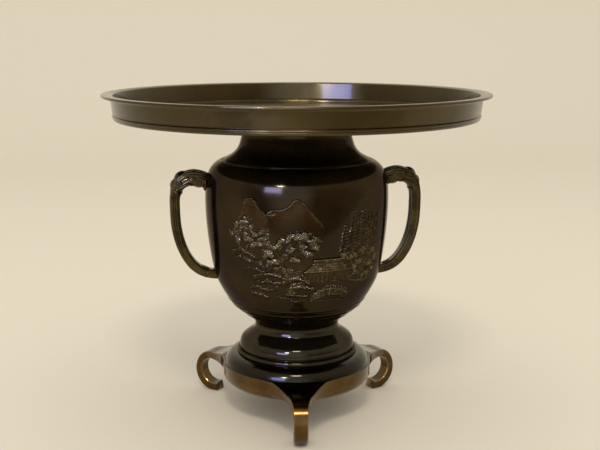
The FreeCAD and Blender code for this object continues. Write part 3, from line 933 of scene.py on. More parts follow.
@dataclass
class Tablet:
    """The body's side unrolled as a height map, on which the landscape is built up stroke by stroke.

    A point is (distance round the body from the front's middle, level), in millimetres.

    Attributes:
        left: left edge.
        right: right edge.
        low: bottom edge.
        high: top edge.
        grain: spacing of the map's points.
        seed: start of the random numbers that vary the strokes.
        film: how far a tinted face stands over the body where it isn't modelled.
    """

    left: float
    right: float
    low: float
    high: float
    grain: float = 0.31
    seed: int = 11
    film: float = 0.03

    def __post_init__(self) -> None:
        """Lays out the empty map."""
        self.across = np.arange(self.left, self.right, self.grain)
        self.up = np.arange(self.low, self.high, self.grain)
        self.height = np.zeros((len(self.up), len(self.across)))
        self.tint = np.zeros_like(self.height)
        self.chance = np.random.default_rng(self.seed)

    def _window(self, left: float, right: float, low: float, high: float) -> tuple:
        """The part of the map inside a frame, as its slices and its two coordinate arrays."""
        columns = slice(*np.searchsorted(self.across, (left, right)))
        rows = slice(*np.searchsorted(self.up, (low, high)))
        u, v = np.meshgrid(self.across[columns], self.up[rows])
        return (rows, columns), u, v

    def _raise(self, part: tuple, height: np.ndarray) -> None:
        """Raises part of the map to at least the given height."""
        self.height[part] = np.maximum(self.height[part], height)

    def _bumps(self, size: float) -> np.ndarray:
        """Smooth random swells over the whole map, from -1 to 1.

        Args:
            size: their spacing.

        Returns:
            One value for each point of the map.
        """
        rows = (self.up - self.low) / size
        columns = (self.across - self.left) / size
        knots = self.chance.uniform(-1, 1, (int(rows[-1]) + 2, int(columns[-1]) + 2))
        i, j = rows.astype(int)[:, None], columns.astype(int)[None, :]
        y, x = rows[:, None] - i, columns[None, :] - j
        y, x = y * y * (3 - 2 * y), x * x * (3 - 2 * x)
        low = knots[i, j] * (1 - x) + knots[i, j + 1] * x
        high = knots[i + 1, j] * (1 - x) + knots[i + 1, j + 1] * x
        return low * (1 - y) + high * y

    def weather(self) -> None:
        """Makes the chased strokes uneven, as a hand and years of polishing leave them."""
        self.height *= 1 + 0.22 * self._bumps(1.1) + 0.2 * self._bumps(3.6)

    def stroke(
        self,
        line: Sequence[Point],
        half_width: float,
        rise: float,
        tip: float = 1.0,
        on: float = 0.0,
    ) -> None:
        """Draws a rounded stroke along a line.

        Args:
            line: the stroke's points.
            half_width: half its width at the start.
            rise: how far it stands proud at the start.
            tip: width and rise at the end, as a share of those at the start.
            on: height of the mass that it lies on.
        """
        count = len(line) - 1
        for i, (start, end) in enumerate(zip(line, line[1:])):
            (u0, v0), (u1, v1) = start, end
            part, u, v = self._window(
                min(u0, u1) - half_width,
                max(u0, u1) + half_width,
                min(v0, v1) - half_width,
                max(v0, v1) + half_width,
            )
            if u.size == 0:
                continue
            length = max((u1 - u0) ** 2 + (v1 - v0) ** 2, 1e-9)
            t = np.clip(((u - u0) * (u1 - u0) + (v - v0) * (v1 - v0)) / length, 0, 1)
            share = 1 + (tip - 1) * (i + t) / count
            off = np.hypot(u - u0 - t * (u1 - u0), v - v0 - t * (v1 - v0)) / (half_width * share)
            self._raise(part, (on + rise * share * np.sqrt(np.clip(1 - off**2, 0, 1))) * (off < 1))

    def dome(
        self,
        centre: Point,
        wide: float,
        tall: float,
        rise: float,
        ribs: int = 0,
        cut: float = 0.3,
        on: float = 0.0,
    ) -> None:
        """Draws a rounded lump, with ribs that spread from its foot if asked.

        Args:
            centre: the lump's middle.
            wide: half its width.
            tall: half its height.
            rise: how far it stands proud.
            ribs: how many ribs go round it.
            cut: how deep the valleys between the ribs are, as a share of the rise.
            on: height of the mass that it lies on.
        """
        u0, v0 = centre
        part, u, v = self._window(u0 - wide, u0 + wide, v0 - tall, v0 + tall)
        if u.size == 0:
            return
        away = ((u - u0) / wide) ** 2 + ((v - v0) / tall) ** 2
        lump = rise * np.sqrt(np.clip(1 - away, 0, 1))
        if ribs:
            turn = np.arctan2(v - v0 + tall * 0.5, u - u0)
            lump *= 1 - cut * (0.5 + 0.5 * np.cos(ribs * turn))
        self._raise(part, (on + lump) * (away < 1))

    def rock(self, centre: Point, wide: float, tall: float, rise: float) -> None:
        """Draws a boulder with slanting facets."""
        u0, v0 = centre
        part, u, v = self._window(u0 - wide, u0 + wide, v0 - tall, v0 + tall)
        if u.size == 0:
            return
        x, y = (u - u0) / wide, (v - v0) / tall
        edge = np.zeros_like(x)
        for turn in np.linspace(0, math.tau, 6, endpoint=False) + self.chance.uniform(0, 1):
            reach = self.chance.uniform(0.72, 1.0)
            edge = np.maximum(edge, (x * math.cos(turn) + y * math.sin(turn)) / reach)
        self._raise(part, rise * np.clip(1 - edge, 0, 1) ** 0.45 * (edge < 1))

    def mountain(self, ridge: Sequence[Point], rise: float, fade: float) -> None:
        """Draws a far mountain: crisp along its ridge, its brown face fading into mist below."""
        line = smooth_line(ridge, 1.6)
        line[1:-1, 1] += self.chance.normal(0, 0.3, len(line) - 2)
        part, u, v = self._window(line[0, 0], line[-1, 0], self.low, self.high)
        depth = np.interp(u, line[:, 0], line[:, 1]) - v
        ends = np.clip(np.minimum(u - line[0, 0], line[-1, 0] - u) / 7, 0, 1)
        face = (depth > 0) * np.clip(depth / 1.5, 0, 1) * np.exp(-((depth / fade) ** 2)) * ends
        self.tint[part] = np.maximum(self.tint[part], face)
        slope = rise * 0.7 * (depth > 0) * np.clip(depth / 0.6, 0, 1) * np.exp(-depth / 3) * ends
        self._raise(part, (slope + self.film) * (face > 0.03))
        self.stroke([tuple(p) for p in line], 0.7, rise * 1.8, 0.7)
        for u0, v0 in line[2:-2:3]:
            self.dome((u0, v0), self.chance.uniform(0.7, 1.5), self.chance.uniform(0.6, 1.0), rise * 1.6)

    def foliage(self, centre: Point, wide: float, tall: float, rise: float, leaf: float = 1.8) -> None:
        """Draws one cloud of foliage: a soft mass with ribbed tufts all over it.

        Args:
            centre: the cloud's middle.
            wide: half its width.
            tall: half its height.
            rise: how far it stands proud.
            leaf: half the size of a tuft.
        """
        mass = rise * 0.5
        self.dome(centre, wide, tall, mass)
        for _ in range(max(5, int(wide * tall * 2.3 / leaf**2))):
            turn, far = self.chance.uniform(0, math.tau), math.sqrt(self.chance.uniform(0, 1))
            spot = (centre[0] + wide * far * math.cos(turn), centre[1] + tall * far * math.sin(turn))
            size = leaf * self.chance.uniform(0.8, 1.25)
            self.dome(
                spot,
                size * 1.2,
                size * 0.9,
                rise * self.chance.uniform(0.45, 0.8),
                ribs=5,
                cut=0.5,
                on=mass * math.sqrt(1 - far**2) * self.chance.uniform(0.7, 1.0),
            )

    def pine(self, trunk: Sequence[Point], thick: float, pads: Sequence[Pad]) -> None:
        """Draws a pine: a crooked trunk, a bough to each cloud of needles, and the clouds.

        Args:
            trunk: the trunk's points from its foot.
            thick: half its width at the foot.
            pads: for each cloud its middle, half width and half height.
        """
        line = smooth_line(trunk, 1.2)
        line[1:-1] += self.chance.normal(0, 0.16, (len(line) - 2, 2))
        for u, v, _, _ in pads:
            nearest = line[np.argmin(np.hypot(line[:, 0] - u, line[:, 1] - v + 3))]
            middle = ((nearest[0] + u) / 2, (nearest[1] + v) / 2 - 0.8)
            self.stroke([tuple(nearest), middle, (u, v)], thick * 0.5, 0.9, 0.6)
        self.stroke([tuple(p) for p in line], thick, 1.3, 0.5)
        for u, v, wide, tall in pads:
            self.foliage((u, v), wide, tall, 1.9)

    def cedar(self, foot: Point, tall: float, wide: float) -> None:
        """Draws an upright tree with boughs that hang in layers.

        Args:
            foot: where the trunk starts.
            tall: the tree's height.
            wide: half its width at the lowest boughs.
        """
        u, v = foot
        self.stroke([(u, v), (u + 0.4, v + tall * 0.5), (u, v + tall)], 0.8, 1.0, 0.5)
        layers = int(tall * 0.78 / 2.3)
        for i in range(layers):
            share = i / layers
            level = v + tall * (0.24 + 0.76 * share)
            for side in (-1, 1):
                reach = wide * (1 - 0.8 * share) * self.chance.uniform(0.75, 1.15)
                line = [(u, level), (u + side * reach * 0.6, level - 0.3), (u + side * reach, level - 1.9)]
                self.stroke(line, 1.15, 1.15, 0.55)

    def thicket(self, left: float, right: float, foot: float, top: float, gap: float = 1.55) -> None:
        """Draws close tall stems, each a little crooked and broken by its joints."""
        for u in np.arange(left, right, gap):
            high = top + self.chance.uniform(-9, 3)
            low = foot + self.chance.uniform(-2, 6)
            count = max(3, int((high - low) / 6))
            levels = np.linspace(low, high, count + 1)
            line = [(u + self.chance.normal(0, 0.3), level) for level in levels]
            self.stroke(line, 0.62, 0.95, 0.7)
            for spot in line[1:]:
                self.dome(spot, 0.95, 1.3, 1.1)

    def ground(self, line: Sequence[Point], half_width: float, rise: float) -> None:
        """Draws a bank: a long soft rounded mass with boulders and low growth along its top."""
        run = [tuple(p) for p in smooth_line(line, 2.2)]
        self.stroke(run, half_width, rise * 0.75, 0.45)
        for i, (u, v) in enumerate(run):
            tall = half_width * (1 - 0.45 * i / len(run))
            lift = v + tall * self.chance.uniform(0.1, 0.6)
            if self.chance.uniform() < 0.45:
                wide, high = self.chance.uniform(1.6, 2.8), self.chance.uniform(0.9, 1.5)
                self.foliage((u, lift), wide, high, rise, 1.0)
            else:
                wide, high = self.chance.uniform(1.5, 3.0), self.chance.uniform(0.9, 1.7)
                self.rock((u, lift), wide, high, rise * 1.25)

    def undergrowth(self, left: float, right: float, low: float, high: float, count: int) -> None:
        """Scatters small bushes and stones over a patch, lower than what stands in front of them."""
        for _ in range(count):
            spot = (self.chance.uniform(left, right), self.chance.uniform(low, high))
            if self.chance.uniform() < 0.7:
                self.foliage(spot, self.chance.uniform(2.2, 4.4), self.chance.uniform(1.4, 2.4), 1.2, 1.5)
            else:
                self.rock(spot, self.chance.uniform(1.8, 3.2), self.chance.uniform(1.2, 2.2), 1.2)

    def tuft(self, foot: Point, tall: float, blades: int = 5) -> None:
        """Draws a fan of grass blades."""
        for i in range(blades):
            lean = math.radians(-40 + 80 * i / max(blades - 1, 1) + self.chance.normal(0, 5))
            tip = (foot[0] + tall * math.sin(lean), foot[1] + tall * math.cos(lean))
            self.stroke([foot, tip], 0.55, 0.9, 0.4)

    def farmhouse(self, middle: Point, wide: float, tall: float) -> None:
        """Draws a thatched house: walls with posts, a broad roof over them and a bound ridge.

        Args:
            middle: middle of the eaves.
            wide: half the eaves' length.
            tall: height of the roof.
        """
        u0, v0 = middle
        part, u, v = self._window(u0 - wide * 0.86, u0 + wide * 0.86, v0 - tall, v0)
        self._raise(part, np.full_like(u, 0.45))
        for i in range(9):
            post = u0 + wide * (-0.82 + 1.64 * i / 8)
            self.stroke([(post, v0 - tall), (post, v0)], 0.6, 1.05)
        for level in (0.32, 0.95):
            beam = v0 - tall * level
            self.stroke([(u0 - wide * 0.86, beam), (u0 + wide * 0.86, beam)], 0.5, 0.95)
        part, u, v = self._window(u0 - wide, u0 + wide, v0 - 0.6, v0 + tall)
        climb = (v - v0) / tall
        inside = np.abs(u - u0 - climb * 1.2) < wide * (1 - 0.42 * climb)
        thatch = 0.1 * np.cos((v - v0) * math.tau / 1.9) + 0.07 * np.cos((u - u0) * math.tau / 1.3)
        self._raise(part, (1.4 - 0.4 * np.clip(climb, 0, 1) + thatch) * inside)
        ridge = [(u0 - wide * 0.6, v0 + tall), (u0 + wide * 0.75, v0 + tall + 0.4)]
        self.stroke(ridge, 0.9, 1.7)
        for end in ridge:
            self.dome(end, 1.5, 1.3, 1.9)
        self.stroke([(u0 - wide * 1.06, v0 - 0.2), (u0 + wide * 1.04, v0 + 0.2)], 0.7, 1.6)

    def fence(self, rail: Sequence[Point], tall: float) -> None:
        """Draws a brushwood fence: close upright twigs along a bowed rail."""
        line = smooth_line(rail, 1.3)
        for u, v in line:
            lean, lift = self.chance.normal(0, 0.5, 2)
            rise = 1.2 + self.chance.uniform(-0.25, 0.25)
            self.stroke([(u, v - tall), (u + lean, v + lift)], 0.68, rise, 0.9)
        for share, rise in ((0.3, 1.35), (0.6, 0.7), (0.95, 0.9)):
            self.stroke([(u, v - tall * share) for u, v in line], 0.9, rise)

    def ripples(self, start: Point, end: Point) -> None:
        """Draws the water's edge: a thin line with pebbles strung along it."""
        count = max(2, int(math.hypot(end[0] - start[0], end[1] - start[1]) / 2.6))
        spots = np.linspace(start, end, count + 1)
        spots[:, 1] += self.chance.normal(0, 0.3, count + 1)
        self.stroke([tuple(p) for p in spots], 0.5, 0.6)
        for spot in spots:
            self.dome(spot, self.chance.uniform(0.9, 1.5), self.chance.uniform(0.55, 0.85), 0.95)


@dataclass
class Landscape:
    """A landscape of stock motifs in low relief: mountains, pines, a farmhouse and a fence, cedars, a shore.

    Attributes:
        body: the body that it lies on.
        skirt: how far the bare parts of the sheet lie under the body's skin.
        facing: the way that the front scene faces, in degrees from +X.
        full_rise: the height that is rubbed the brightest.
        bare: the height below which nothing is drawn.
        margin: over how many cells the sheet sinks beside what is drawn.
    """

    body: Body
    skirt: float = 0.35
    facing: float = -98.0
    full_rise: float = 2.0
    bare: float = 0.02
    margin: int = 3

    def front(self) -> Tablet:
        """The landscape seen from the front."""
        tablet = Tablet(left=-56, right=78, low=101, high=190)
        left_ridge = [(-47, 162), (-42, 172), (-37, 183), (-33, 182.5), (-28, 176), (-21, 171.5), (-16, 172)]
        right_ridge = [(-23, 171), (-18, 175), (-12, 175.5), (-5, 178.5), (0, 183), (4, 181), (9, 175.5)]
        right_ridge += [(14, 170), (20, 163)]
        tablet.mountain(left_ridge, 0.7, 15)
        tablet.mountain(right_ridge, 0.7, 17)
        tablet.undergrowth(-50, -22, 145, 160, 13)
        tablet.undergrowth(-30, -4, 128, 149, 14)
        tablet.undergrowth(-12, 12, 110, 128, 14)
        tablet.undergrowth(38, 74, 119, 150, 30)
        self._left_grove(tablet)
        self._right_bank(tablet)
        self._middle_pine(tablet)
        self._homestead(tablet)
        self._shores(tablet)
        tablet.weather()
        return tablet

    def back(self) -> Tablet:
        """A quieter scene for the side away from the front."""
        tablet = Tablet(left=-54, right=54, low=106, high=190, grain=0.36, seed=23)
        tablet.mountain([(-44, 160), (-34, 172), (-26, 180), (-19, 174), (-10, 167)], 0.6, 14)
        tablet.mountain([(-14, 166), (-4, 173), (6, 181), (12, 176), (22, 169), (34, 164)], 0.6, 14)
        tablet.pine(
            [(16, 128), (13, 138), (18, 148), (15, 157)],
            1.5,
            [
                (6, 148, 6, 2.6), (24, 146, 6.5, 2.6), (10, 155, 5.5, 2.4), (20, 158, 6, 2.6),
                (15, 163, 4.5, 2.2),
            ],
        )
        tablet.pine(
            [(-30, 130), (-27, 142), (-32, 152)],
            1.2,
            [(-38, 150, 5, 2.3), (-26, 149, 5, 2.2), (-32, 156, 4.5, 2)],
        )
        tablet.ground([(4, 124), (14, 127), (26, 126), (36, 122)], 3.0, 1.2)
        tablet.ground([(-42, 127), (-30, 128), (-16, 124)], 2.6, 1.1)
        tablet.ground([(-28, 114), (-14, 116), (2, 113)], 1.8, 0.9)
        tablet.ripples((-40, 108), (30, 108))
        return tablet

    def _left_grove(self, tablet: Tablet) -> None:
        """Pines on a rocky point at the left."""
        tablet.pine(
            [(-46, 143), (-45, 152), (-40, 159), (-35, 163)],
            1.3,
            [
                (-51, 156, 3.6, 2.6), (-46, 162, 4.4, 2.6), (-40, 166, 4.6, 2.4), (-48, 151, 3.6, 2.4),
                (-36, 161, 4.4, 2.2), (-31, 157, 4.4, 2.0), (-26, 153.5, 4.4, 1.6),
            ],
        )
        tablet.pine(
            [(-41, 142), (-37, 149), (-31, 151)],
            1.0,
            [(-31, 148, 4.6, 2.0), (-23, 150, 4.2, 1.5), (-38, 153, 4, 2)],
        )
        tablet.ground([(-53, 141), (-47, 143.5), (-41, 142), (-34, 138.5)], 2.4, 1.2)
        tablet.ground([(-50, 137), (-45, 137.5), (-38, 135)], 1.5, 1.0)

    def _middle_pine(self, tablet: Tablet) -> None:
        """The great pine in the middle, leaning over the water."""
        tablet.pine(
            [(-5, 122), (-9, 129), (-11, 136), (-7, 142), (-1, 147), (3, 153)],
            2.0,
            [
                (-22, 142, 5.0, 2.8), (-18, 136.5, 5.0, 2.0), (-16, 148, 5.0, 2.5), (-10, 152.5, 5.2, 2.0),
                (-2, 156, 4.6, 2.2), (6, 157, 5.2, 2.6), (13, 152.5, 5.4, 2.4), (15, 147, 3.4, 2.6),
                (8, 143.5, 3.8, 2.8), (0, 139, 3.8, 2.6), (-13, 131.5, 3.8, 1.8), (3, 148, 4.0, 1.8),
                (-5, 146.5, 3.6, 1.8),
            ],
        )

    def _homestead(self, tablet: Tablet) -> None:
        """The farmhouse with its rocks, grass and brushwood fence."""
        tablet.farmhouse((24, 129.0), 17.0, 8.6)
        tablet.ground([(-10, 120), (-4, 123), (3, 122.5), (9, 120)], 2.8, 1.5)
        tablet.ground([(-4, 115), (3, 116.5), (12, 115)], 2.6, 1.5)
        for u in (-6, -1, 5, 9):
            tablet.tuft((u, 110 + (u % 3)), 4.8)
        tablet.ground([(-8, 110), (0, 109.5), (8, 109)], 1.6, 1.1)
        tablet.fence([(12, 111), (19, 115), (28, 116.8), (37, 115.4), (45, 111.5)], 7.4)

    def _right_bank(self, tablet: Tablet) -> None:
        """Cedars and a thicket on the bank at the right, over bushes."""
        tablet.thicket(53, 74, 132, 170)
        cedars = ((38, 139, 26, 4.6), (45, 138, 37, 5.4), (51, 140, 31, 4.6), (60, 136, 24, 4.4))
        for u, v, tall, wide in cedars:
            tablet.cedar((u, v), tall, wide)
        for u, v, wide, tall in (
            (40, 140, 4.4, 2.8), (47, 138, 4.6, 3.0), (54, 141, 4.6, 3.0), (61, 137, 4.8, 3.2),
            (68, 140, 4.4, 3.2), (46, 131, 4.4, 3.0), (53, 133, 5.0, 3.2), (60, 129, 4.8, 3.0),
            (67, 132, 4.6, 3.2), (73, 134, 3.6, 3.0), (50, 125, 4.8, 2.8), (57, 122, 4.8, 2.6),
            (64, 123, 4.6, 2.8), (71, 126, 4.0, 2.8),
        ):
            tablet.foliage((u, v), wide, tall, 1.6, 2.2)
        tablet.ground([(45, 119.5), (54, 117.5), (64, 117.5), (72, 121)], 2.0, 1.2)

    def _shores(self, tablet: Tablet) -> None:
        """Banks in the mist low on the left, and the water's edge under them."""
        tablet.ground([(-43, 129), (-36, 129.5), (-27, 127)], 1.5, 0.9)
        tablet.ground([(-34, 123.5), (-27, 125), (-20, 126), (-13, 124.5)], 2.4, 1.3)
        tablet.ground([(-30, 119.5), (-22, 120), (-15, 119)], 1.5, 1.1)
        tablet.ground([(-41, 114), (-33, 115), (-25, 113), (-17, 114.5)], 1.1, 0.9)
        tablet.ground([(-40, 108.5), (-33, 108.5), (-26, 106.5)], 1.1, 0.8)
        tablet.ripples((-16, 108), (-4, 106.5))
        tablet.ripples((-4, 104.5), (38, 105))

    def sheet(self, name: str, tablet: Tablet, facing: float) -> bpy.types.Object:
        """Lays a tablet on the body.

        Args:
            name: the piece's name.
            tablet: the finished height map.
            facing: the way that its middle faces, in degrees from +X.

        Returns:
            The relief as a mesh that sinks under the body's skin where nothing is drawn.
        """
        widest = self.body.widest()
        tall, wide = tablet.height.shape
        under = self._under(tablet.height > self.bare)

        def surface(along: np.ndarray, up: np.ndarray) -> np.ndarray:
            """Place on the body, raised by the map."""
            column = np.clip(np.rint(along * (wide - 1)).astype(int), 0, wide - 1)
            row = np.clip(np.rint(up * (tall - 1)).astype(int), 0, tall - 1)
            rise = tablet.height[row, column]
            level = tablet.up[row]
            turn = math.radians(facing) + tablet.across[column] / widest
            radius = self.body.radius_at(level) + np.where(rise > self.bare, rise, -under[row, column])
            return np.stack([radius * np.cos(turn), radius * np.sin(turn), level], axis=1)

        piece = wrapped_sheet(name, wide - 1, tall - 1, surface)
        self._drop_bare_faces(piece)
        pick(piece)
        bpy.ops.object.shade_smooth()
        self._keep_wear(piece, tablet, facing)
        return piece

    def _under(self, drawn: np.ndarray) -> np.ndarray:
        """How far each cell lies under the skin: a little beside what is drawn, and deeper further off."""
        depth = np.full(drawn.shape, self.skirt)
        grown = [drawn]
        for _ in range(self.margin):
            near = grown[-1]
            for axis, step in ((0, 1), (0, -1), (1, 1), (1, -1)):
                near = near | np.roll(grown[-1], step, axis)
            grown.append(near)
        for step in range(self.margin, 0, -1):
            depth[grown[step]] = self.skirt * step / (self.margin + 1)
        return depth

    def _keep_wear(self, piece: bpy.types.Object, tablet: Tablet, facing: float) -> None:
        """Keeps how rubbed and how brown each corner of the sheet is."""
        x, y, level = corners_of(piece).T
        rise = np.hypot(x, y) - self.body.radius_at(level)
        wear = 0.5 * bulge(piece, 0.6, passes=1) + 0.5 * np.clip(rise / self.full_rise, 0, 1)
        write_layer(piece, "wear", wear)
        turn = np.angle(np.exp(1j * (np.arctan2(y, x) - math.radians(facing))))
        place = turn * self.body.widest()
        column = np.clip(np.searchsorted(tablet.across, place), 0, len(tablet.across) - 1)
        row = np.clip(np.searchsorted(tablet.up, level), 0, len(tablet.up) - 1)
        write_layer(piece, "tint", tablet.tint[row, column])

    def _drop_bare_faces(self, piece: bpy.types.Object) -> None:
        """Takes away the faces that lie wholly under the body's skin."""
        mesh = piece.data
        x, y, level = corners_of(piece).T
        sunk = np.hypot(x, y) < self.body.radius_at(level) - self.skirt * 0.9
        mesh.vertices.foreach_set("select", sunk)
        edges = np.empty(len(mesh.edges) * 2, dtype=np.int64)
        mesh.edges.foreach_get("vertices", edges)
        mesh.edges.foreach_set("select", sunk[edges.reshape(-1, 2)].all(axis=1))
        loops = np.empty(len(mesh.loops), dtype=np.int64)
        mesh.loops.foreach_get("vertex_index", loops)
        mesh.polygons.foreach_set("select", sunk[loops.reshape(-1, 4)].all(axis=1))
        pick(piece)
        bpy.ops.object.mode_set(mode="EDIT")
        bpy.ops.mesh.select_mode(type="FACE")
        bpy.ops.mesh.delete(type="FACE")
        bpy.ops.mesh.select_mode(type="VERT")
        bpy.ops.mesh.select_all(action="SELECT")
        bpy.ops.mesh.delete_loose()
        bpy.ops.object.mode_set(mode="OBJECT")

    def build(self) -> None:
        """Lays the front and back scenes on the body."""
        scenes = (
            ("relief_front", self.front(), self.facing),
            ("relief_back", self.back(), self.facing + 180),
        )
        for name, tablet, facing in scenes:
            settle(self.sheet(name, tablet, facing), Rides.VASE, RELIEF_FINISH)


# Pedestal


@dataclass
class Pedestal:
    """Bell that flares from the waist over two turned steps."""

    wall: float = 3.0
    bell: tuple[Point, ...] = (
        (33.6, 70.0), (34.6, 67.6), (37.2, 65.4), (41.0, 62.8), (44.2, 60.2), (45.6, 57.4), (46.0, 54.0),
    )
    step: float = 48.3
    step_height: float = 3.4
    step_undercut: float = 0.6
    ledge_set_back: float = 1.0

    def outline(self) -> list[Point]:
        """Half section of the pedestal."""
        top = top_of("pedestal")
        foot = foot_of("pedestal")
        bell = smooth_line(self.bell, 0.6)
        ledge = foot + self.step_height
        waist = self.bell[0][0]
        wide = self.bell[-1][0]
        drawn = Outline()
        drawn.corner(waist - self.wall, top)
        drawn.corner(waist, top)
        drawn.along(bell)
        drawn.bow((wide - 0.2, ledge + 0.9), -0.25, 4)
        drawn.corner(wide - self.ledge_set_back, ledge + 0.6, 0.2)
        drawn.corner(wide - self.ledge_set_back, ledge, 0.2)
        drawn.corner(self.step - 1.2, ledge - 0.1, 0.4)
        drawn.bow((self.step, foot + 1.0), -0.45, 6)
        drawn.corner(self.step - self.step_undercut, foot + 0.3, 0.2)
        drawn.corner(self.step - self.step_undercut, foot)
        drawn.corner(wide - self.wall, foot)
        drawn.along(wall_inside(bell[::-1], self.wall))
        return drawn.drawn()

    def build(self) -> None:
        """Turns the pedestal and dresses it."""
        pedestal = turned_piece("bell_pedestal", self.outline())
        settle(pedestal, Rides.VASE, PEDESTAL_FINISH, ["pedestal"])


# Stand


@dataclass
class Stand:
    """Plate with a rolled edge over a hollow drum, on three legs that flow out of the edge into scrolls."""

    plate: float = 59.6
    edge_level: float = 40.0
    drum_wall_foot: float = 30.0
    drum_foot: Point = (53.0, 23.5)
    wall: float = 4.0
    seat: float = 49.1
    stud_hole: float = 4.5
    bevel: float = 0.75
    bevel_support: float = 0.35
    legs: int = 3
    leg_turn: float = -6.0
    leg_width: float = 10.2
    blend_angle: float = 33.0
    root_overlap: float = 3.0
    arm_slope: float = 0.25
    scroll_radius: float = 17.9
    scroll_centre: float = 77.8
    scroll_bore: float = 11.6
    bore_rise: float = 0.7
    foot_flat: float = 0.3
    scroll_end: float = 102.0

    def outline(self) -> list[Point]:
        """Half section of the plate and drum."""
        top = top_of("tripod_stand")
        room = self.drum_foot[0] - self.wall
        under = top - self.wall
        drawn = Outline()
        drawn.corner(self.stud_hole, top)
        drawn.corner(self.seat - 0.6, top, 0.2)
        drawn.bow((self.plate - self.bevel - self.bevel_support, self.edge_level + 0.02), -2.4, 14)
        drawn.corner(self.plate - self.bevel, self.edge_level)
        drawn.corner(self.plate, self.edge_level - self.bevel)
        drawn.corner(self.plate, self.edge_level - self.bevel - self.bevel_support)
        drawn.corner(self.plate, self.drum_wall_foot)
        drawn.bow(self.drum_foot, -1.3, 10)
        drawn.corner(room, self.drum_foot[1], 0.4)
        drawn.corner(room + self.wall / 2, self.drum_wall_foot)
        drawn.corner(room + self.wall / 2, under, 1.0)
        drawn.corner(self.stud_hole, under)
        return drawn.drawn()

    def _half_width(self, reach: np.ndarray) -> np.ndarray:
        """Half the leg's width at a distance from the axis: hollow sides that blend the edge into it."""
        half = self.leg_width / 2
        sine = math.sin(math.radians(self.blend_angle))
        hollow = (self.plate * sine - half) / (1 - sine)
        centre = (self.plate + hollow) * math.cos(math.radians(self.blend_angle))
        off = np.clip(centre - reach, 0, hollow)
        inside = np.sqrt(np.maximum(self.plate**2 - reach**2, 0)) - 0.1
        start = self.plate * math.cos(math.radians(self.blend_angle))
        return np.where(reach < start, inside, half + hollow - np.sqrt(hollow**2 - off**2))

    def _run(self) -> np.ndarray:
        """The leg's lines side by side.

        Returns:
            For each station outer x and z, inner x and z, half width and how fast that changes along the leg.
        """
        level = self.scroll_radius - self.foot_flat
        bore_level = level + self.bore_rise
        root = self.plate * math.cos(math.radians(self.blend_angle)) - self.root_overlap
        arm = np.linspace(root, self.scroll_centre, 40)
        span = self.scroll_centre - self.plate
        t = np.clip((arm - self.plate) / span, 0, 1)
        top = self.edge_level
        fall = top - (level + self.scroll_radius)
        dip = top - fall * (3 * t**2 - 2 * t**3) - self.arm_slope * span * t * (1 - t) ** 2
        under = np.full_like(arm, bore_level + self.scroll_bore)
        turn = np.radians(np.linspace(90, -self.scroll_end, 64)[1:])
        outer_x = self.scroll_centre + self.scroll_radius * np.cos(turn)
        outer_z = np.maximum(level + self.scroll_radius * np.sin(turn), 0)
        inner_x = self.scroll_centre + self.scroll_bore * np.cos(turn)
        inner_z = bore_level + self.scroll_bore * np.sin(turn)
        furthest = np.maximum.accumulate(np.concatenate([arm, outer_x]))
        half = self._half_width(furthest)
        slope = np.concatenate([np.gradient(half[: len(arm)], arm), np.zeros(len(outer_x))])
        return np.stack(
            [
                np.concatenate([arm, outer_x]),
                np.concatenate([dip, outer_z]),
                np.concatenate([arm, inner_x]),
                np.concatenate([under, inner_z]),
                half,
                slope,
            ],
            axis=1,
        )

    def leg(self, name: str, turn: float) -> bpy.types.Object:
        """One leg, swept along its run with bevelled edges.

        Args:
            name: the leg's name.
            turn: the way that it points, in degrees from +X.

        Returns:
            The leg as a closed mesh.
        """
        run = self._run()
        edge, held = self.bevel, self.bevel + self.bevel_support
        # Each corner of the section: share of the half width, how far in from the side, how far in from the
        # outer face, and 1 where that is counted from the inner face instead.
        ring = [(-1, edge, 0, 0)]
        ring += [(share, held, 0, 0) for share in np.linspace(-1, 1, 9)]
        ring += [(1, edge, 0, 0), (1, 0, edge, 0), (1, 0, held, 0), (1, 0, held, 1), (1, 0, edge, 1)]
        ring += [(1, edge, 0, 1), (1, held, 0, 1), (-1, held, 0, 1), (-1, edge, 0, 1)]
        ring += [(-1, 0, edge, 1), (-1, 0, held, 1), (-1, 0, held, 0), (-1, 0, edge, 0), (-1, edge, 0, 0)]
        ring = np.array(ring, float)
        cos, sin = math.cos(math.radians(turn)), math.sin(math.radians(turn))

        def surface(along: np.ndarray, around: np.ndarray) -> np.ndarray:
            """Place on the leg's skin."""
            i = np.rint(along * (len(run) - 1)).astype(int)
            j = np.rint(around * (len(ring) - 1)).astype(int)
            outer_x, outer_z, inner_x, inner_z, half, slope = run[i].T
            share, side_in, face_in, from_inner = ring[j].T
            thick = np.hypot(inner_x - outer_x, inner_z - outer_z)
            depth = face_in / thick
            depth = np.where(from_inner == 1, 1 - depth, depth)
            inwards = side_in / np.hypot(slope, 1)
            x = outer_x + (inner_x - outer_x) * depth + inwards * slope
            z = outer_z + (inner_z - outer_z) * depth
            y = share * (half - inwards)
            return np.stack([x * cos - y * sin, x * sin + y * cos, z], axis=1)

        piece = wrapped_sheet(name, len(run) - 1, len(ring) - 1, surface)
        finish_skin(piece, crease=28)
        return piece

    def build(self) -> None:
        """Turns the bowl, sweeps the legs, joins them and dresses the stand."""
        bowl = turned_piece("stand_bowl", self.outline())
        legs = [self.leg(f"leg_{i}", self.leg_turn - 90 + i * 360 / self.legs) for i in range(self.legs)]
        stand = joined("scroll_stand", [bowl, *legs])
        write_layer(stand, "wear", bulge(stand, 0.5, passes=0))
        settle(stand, Rides.VASE, STAND_FINISH, ["tripod_stand"])


# Handles


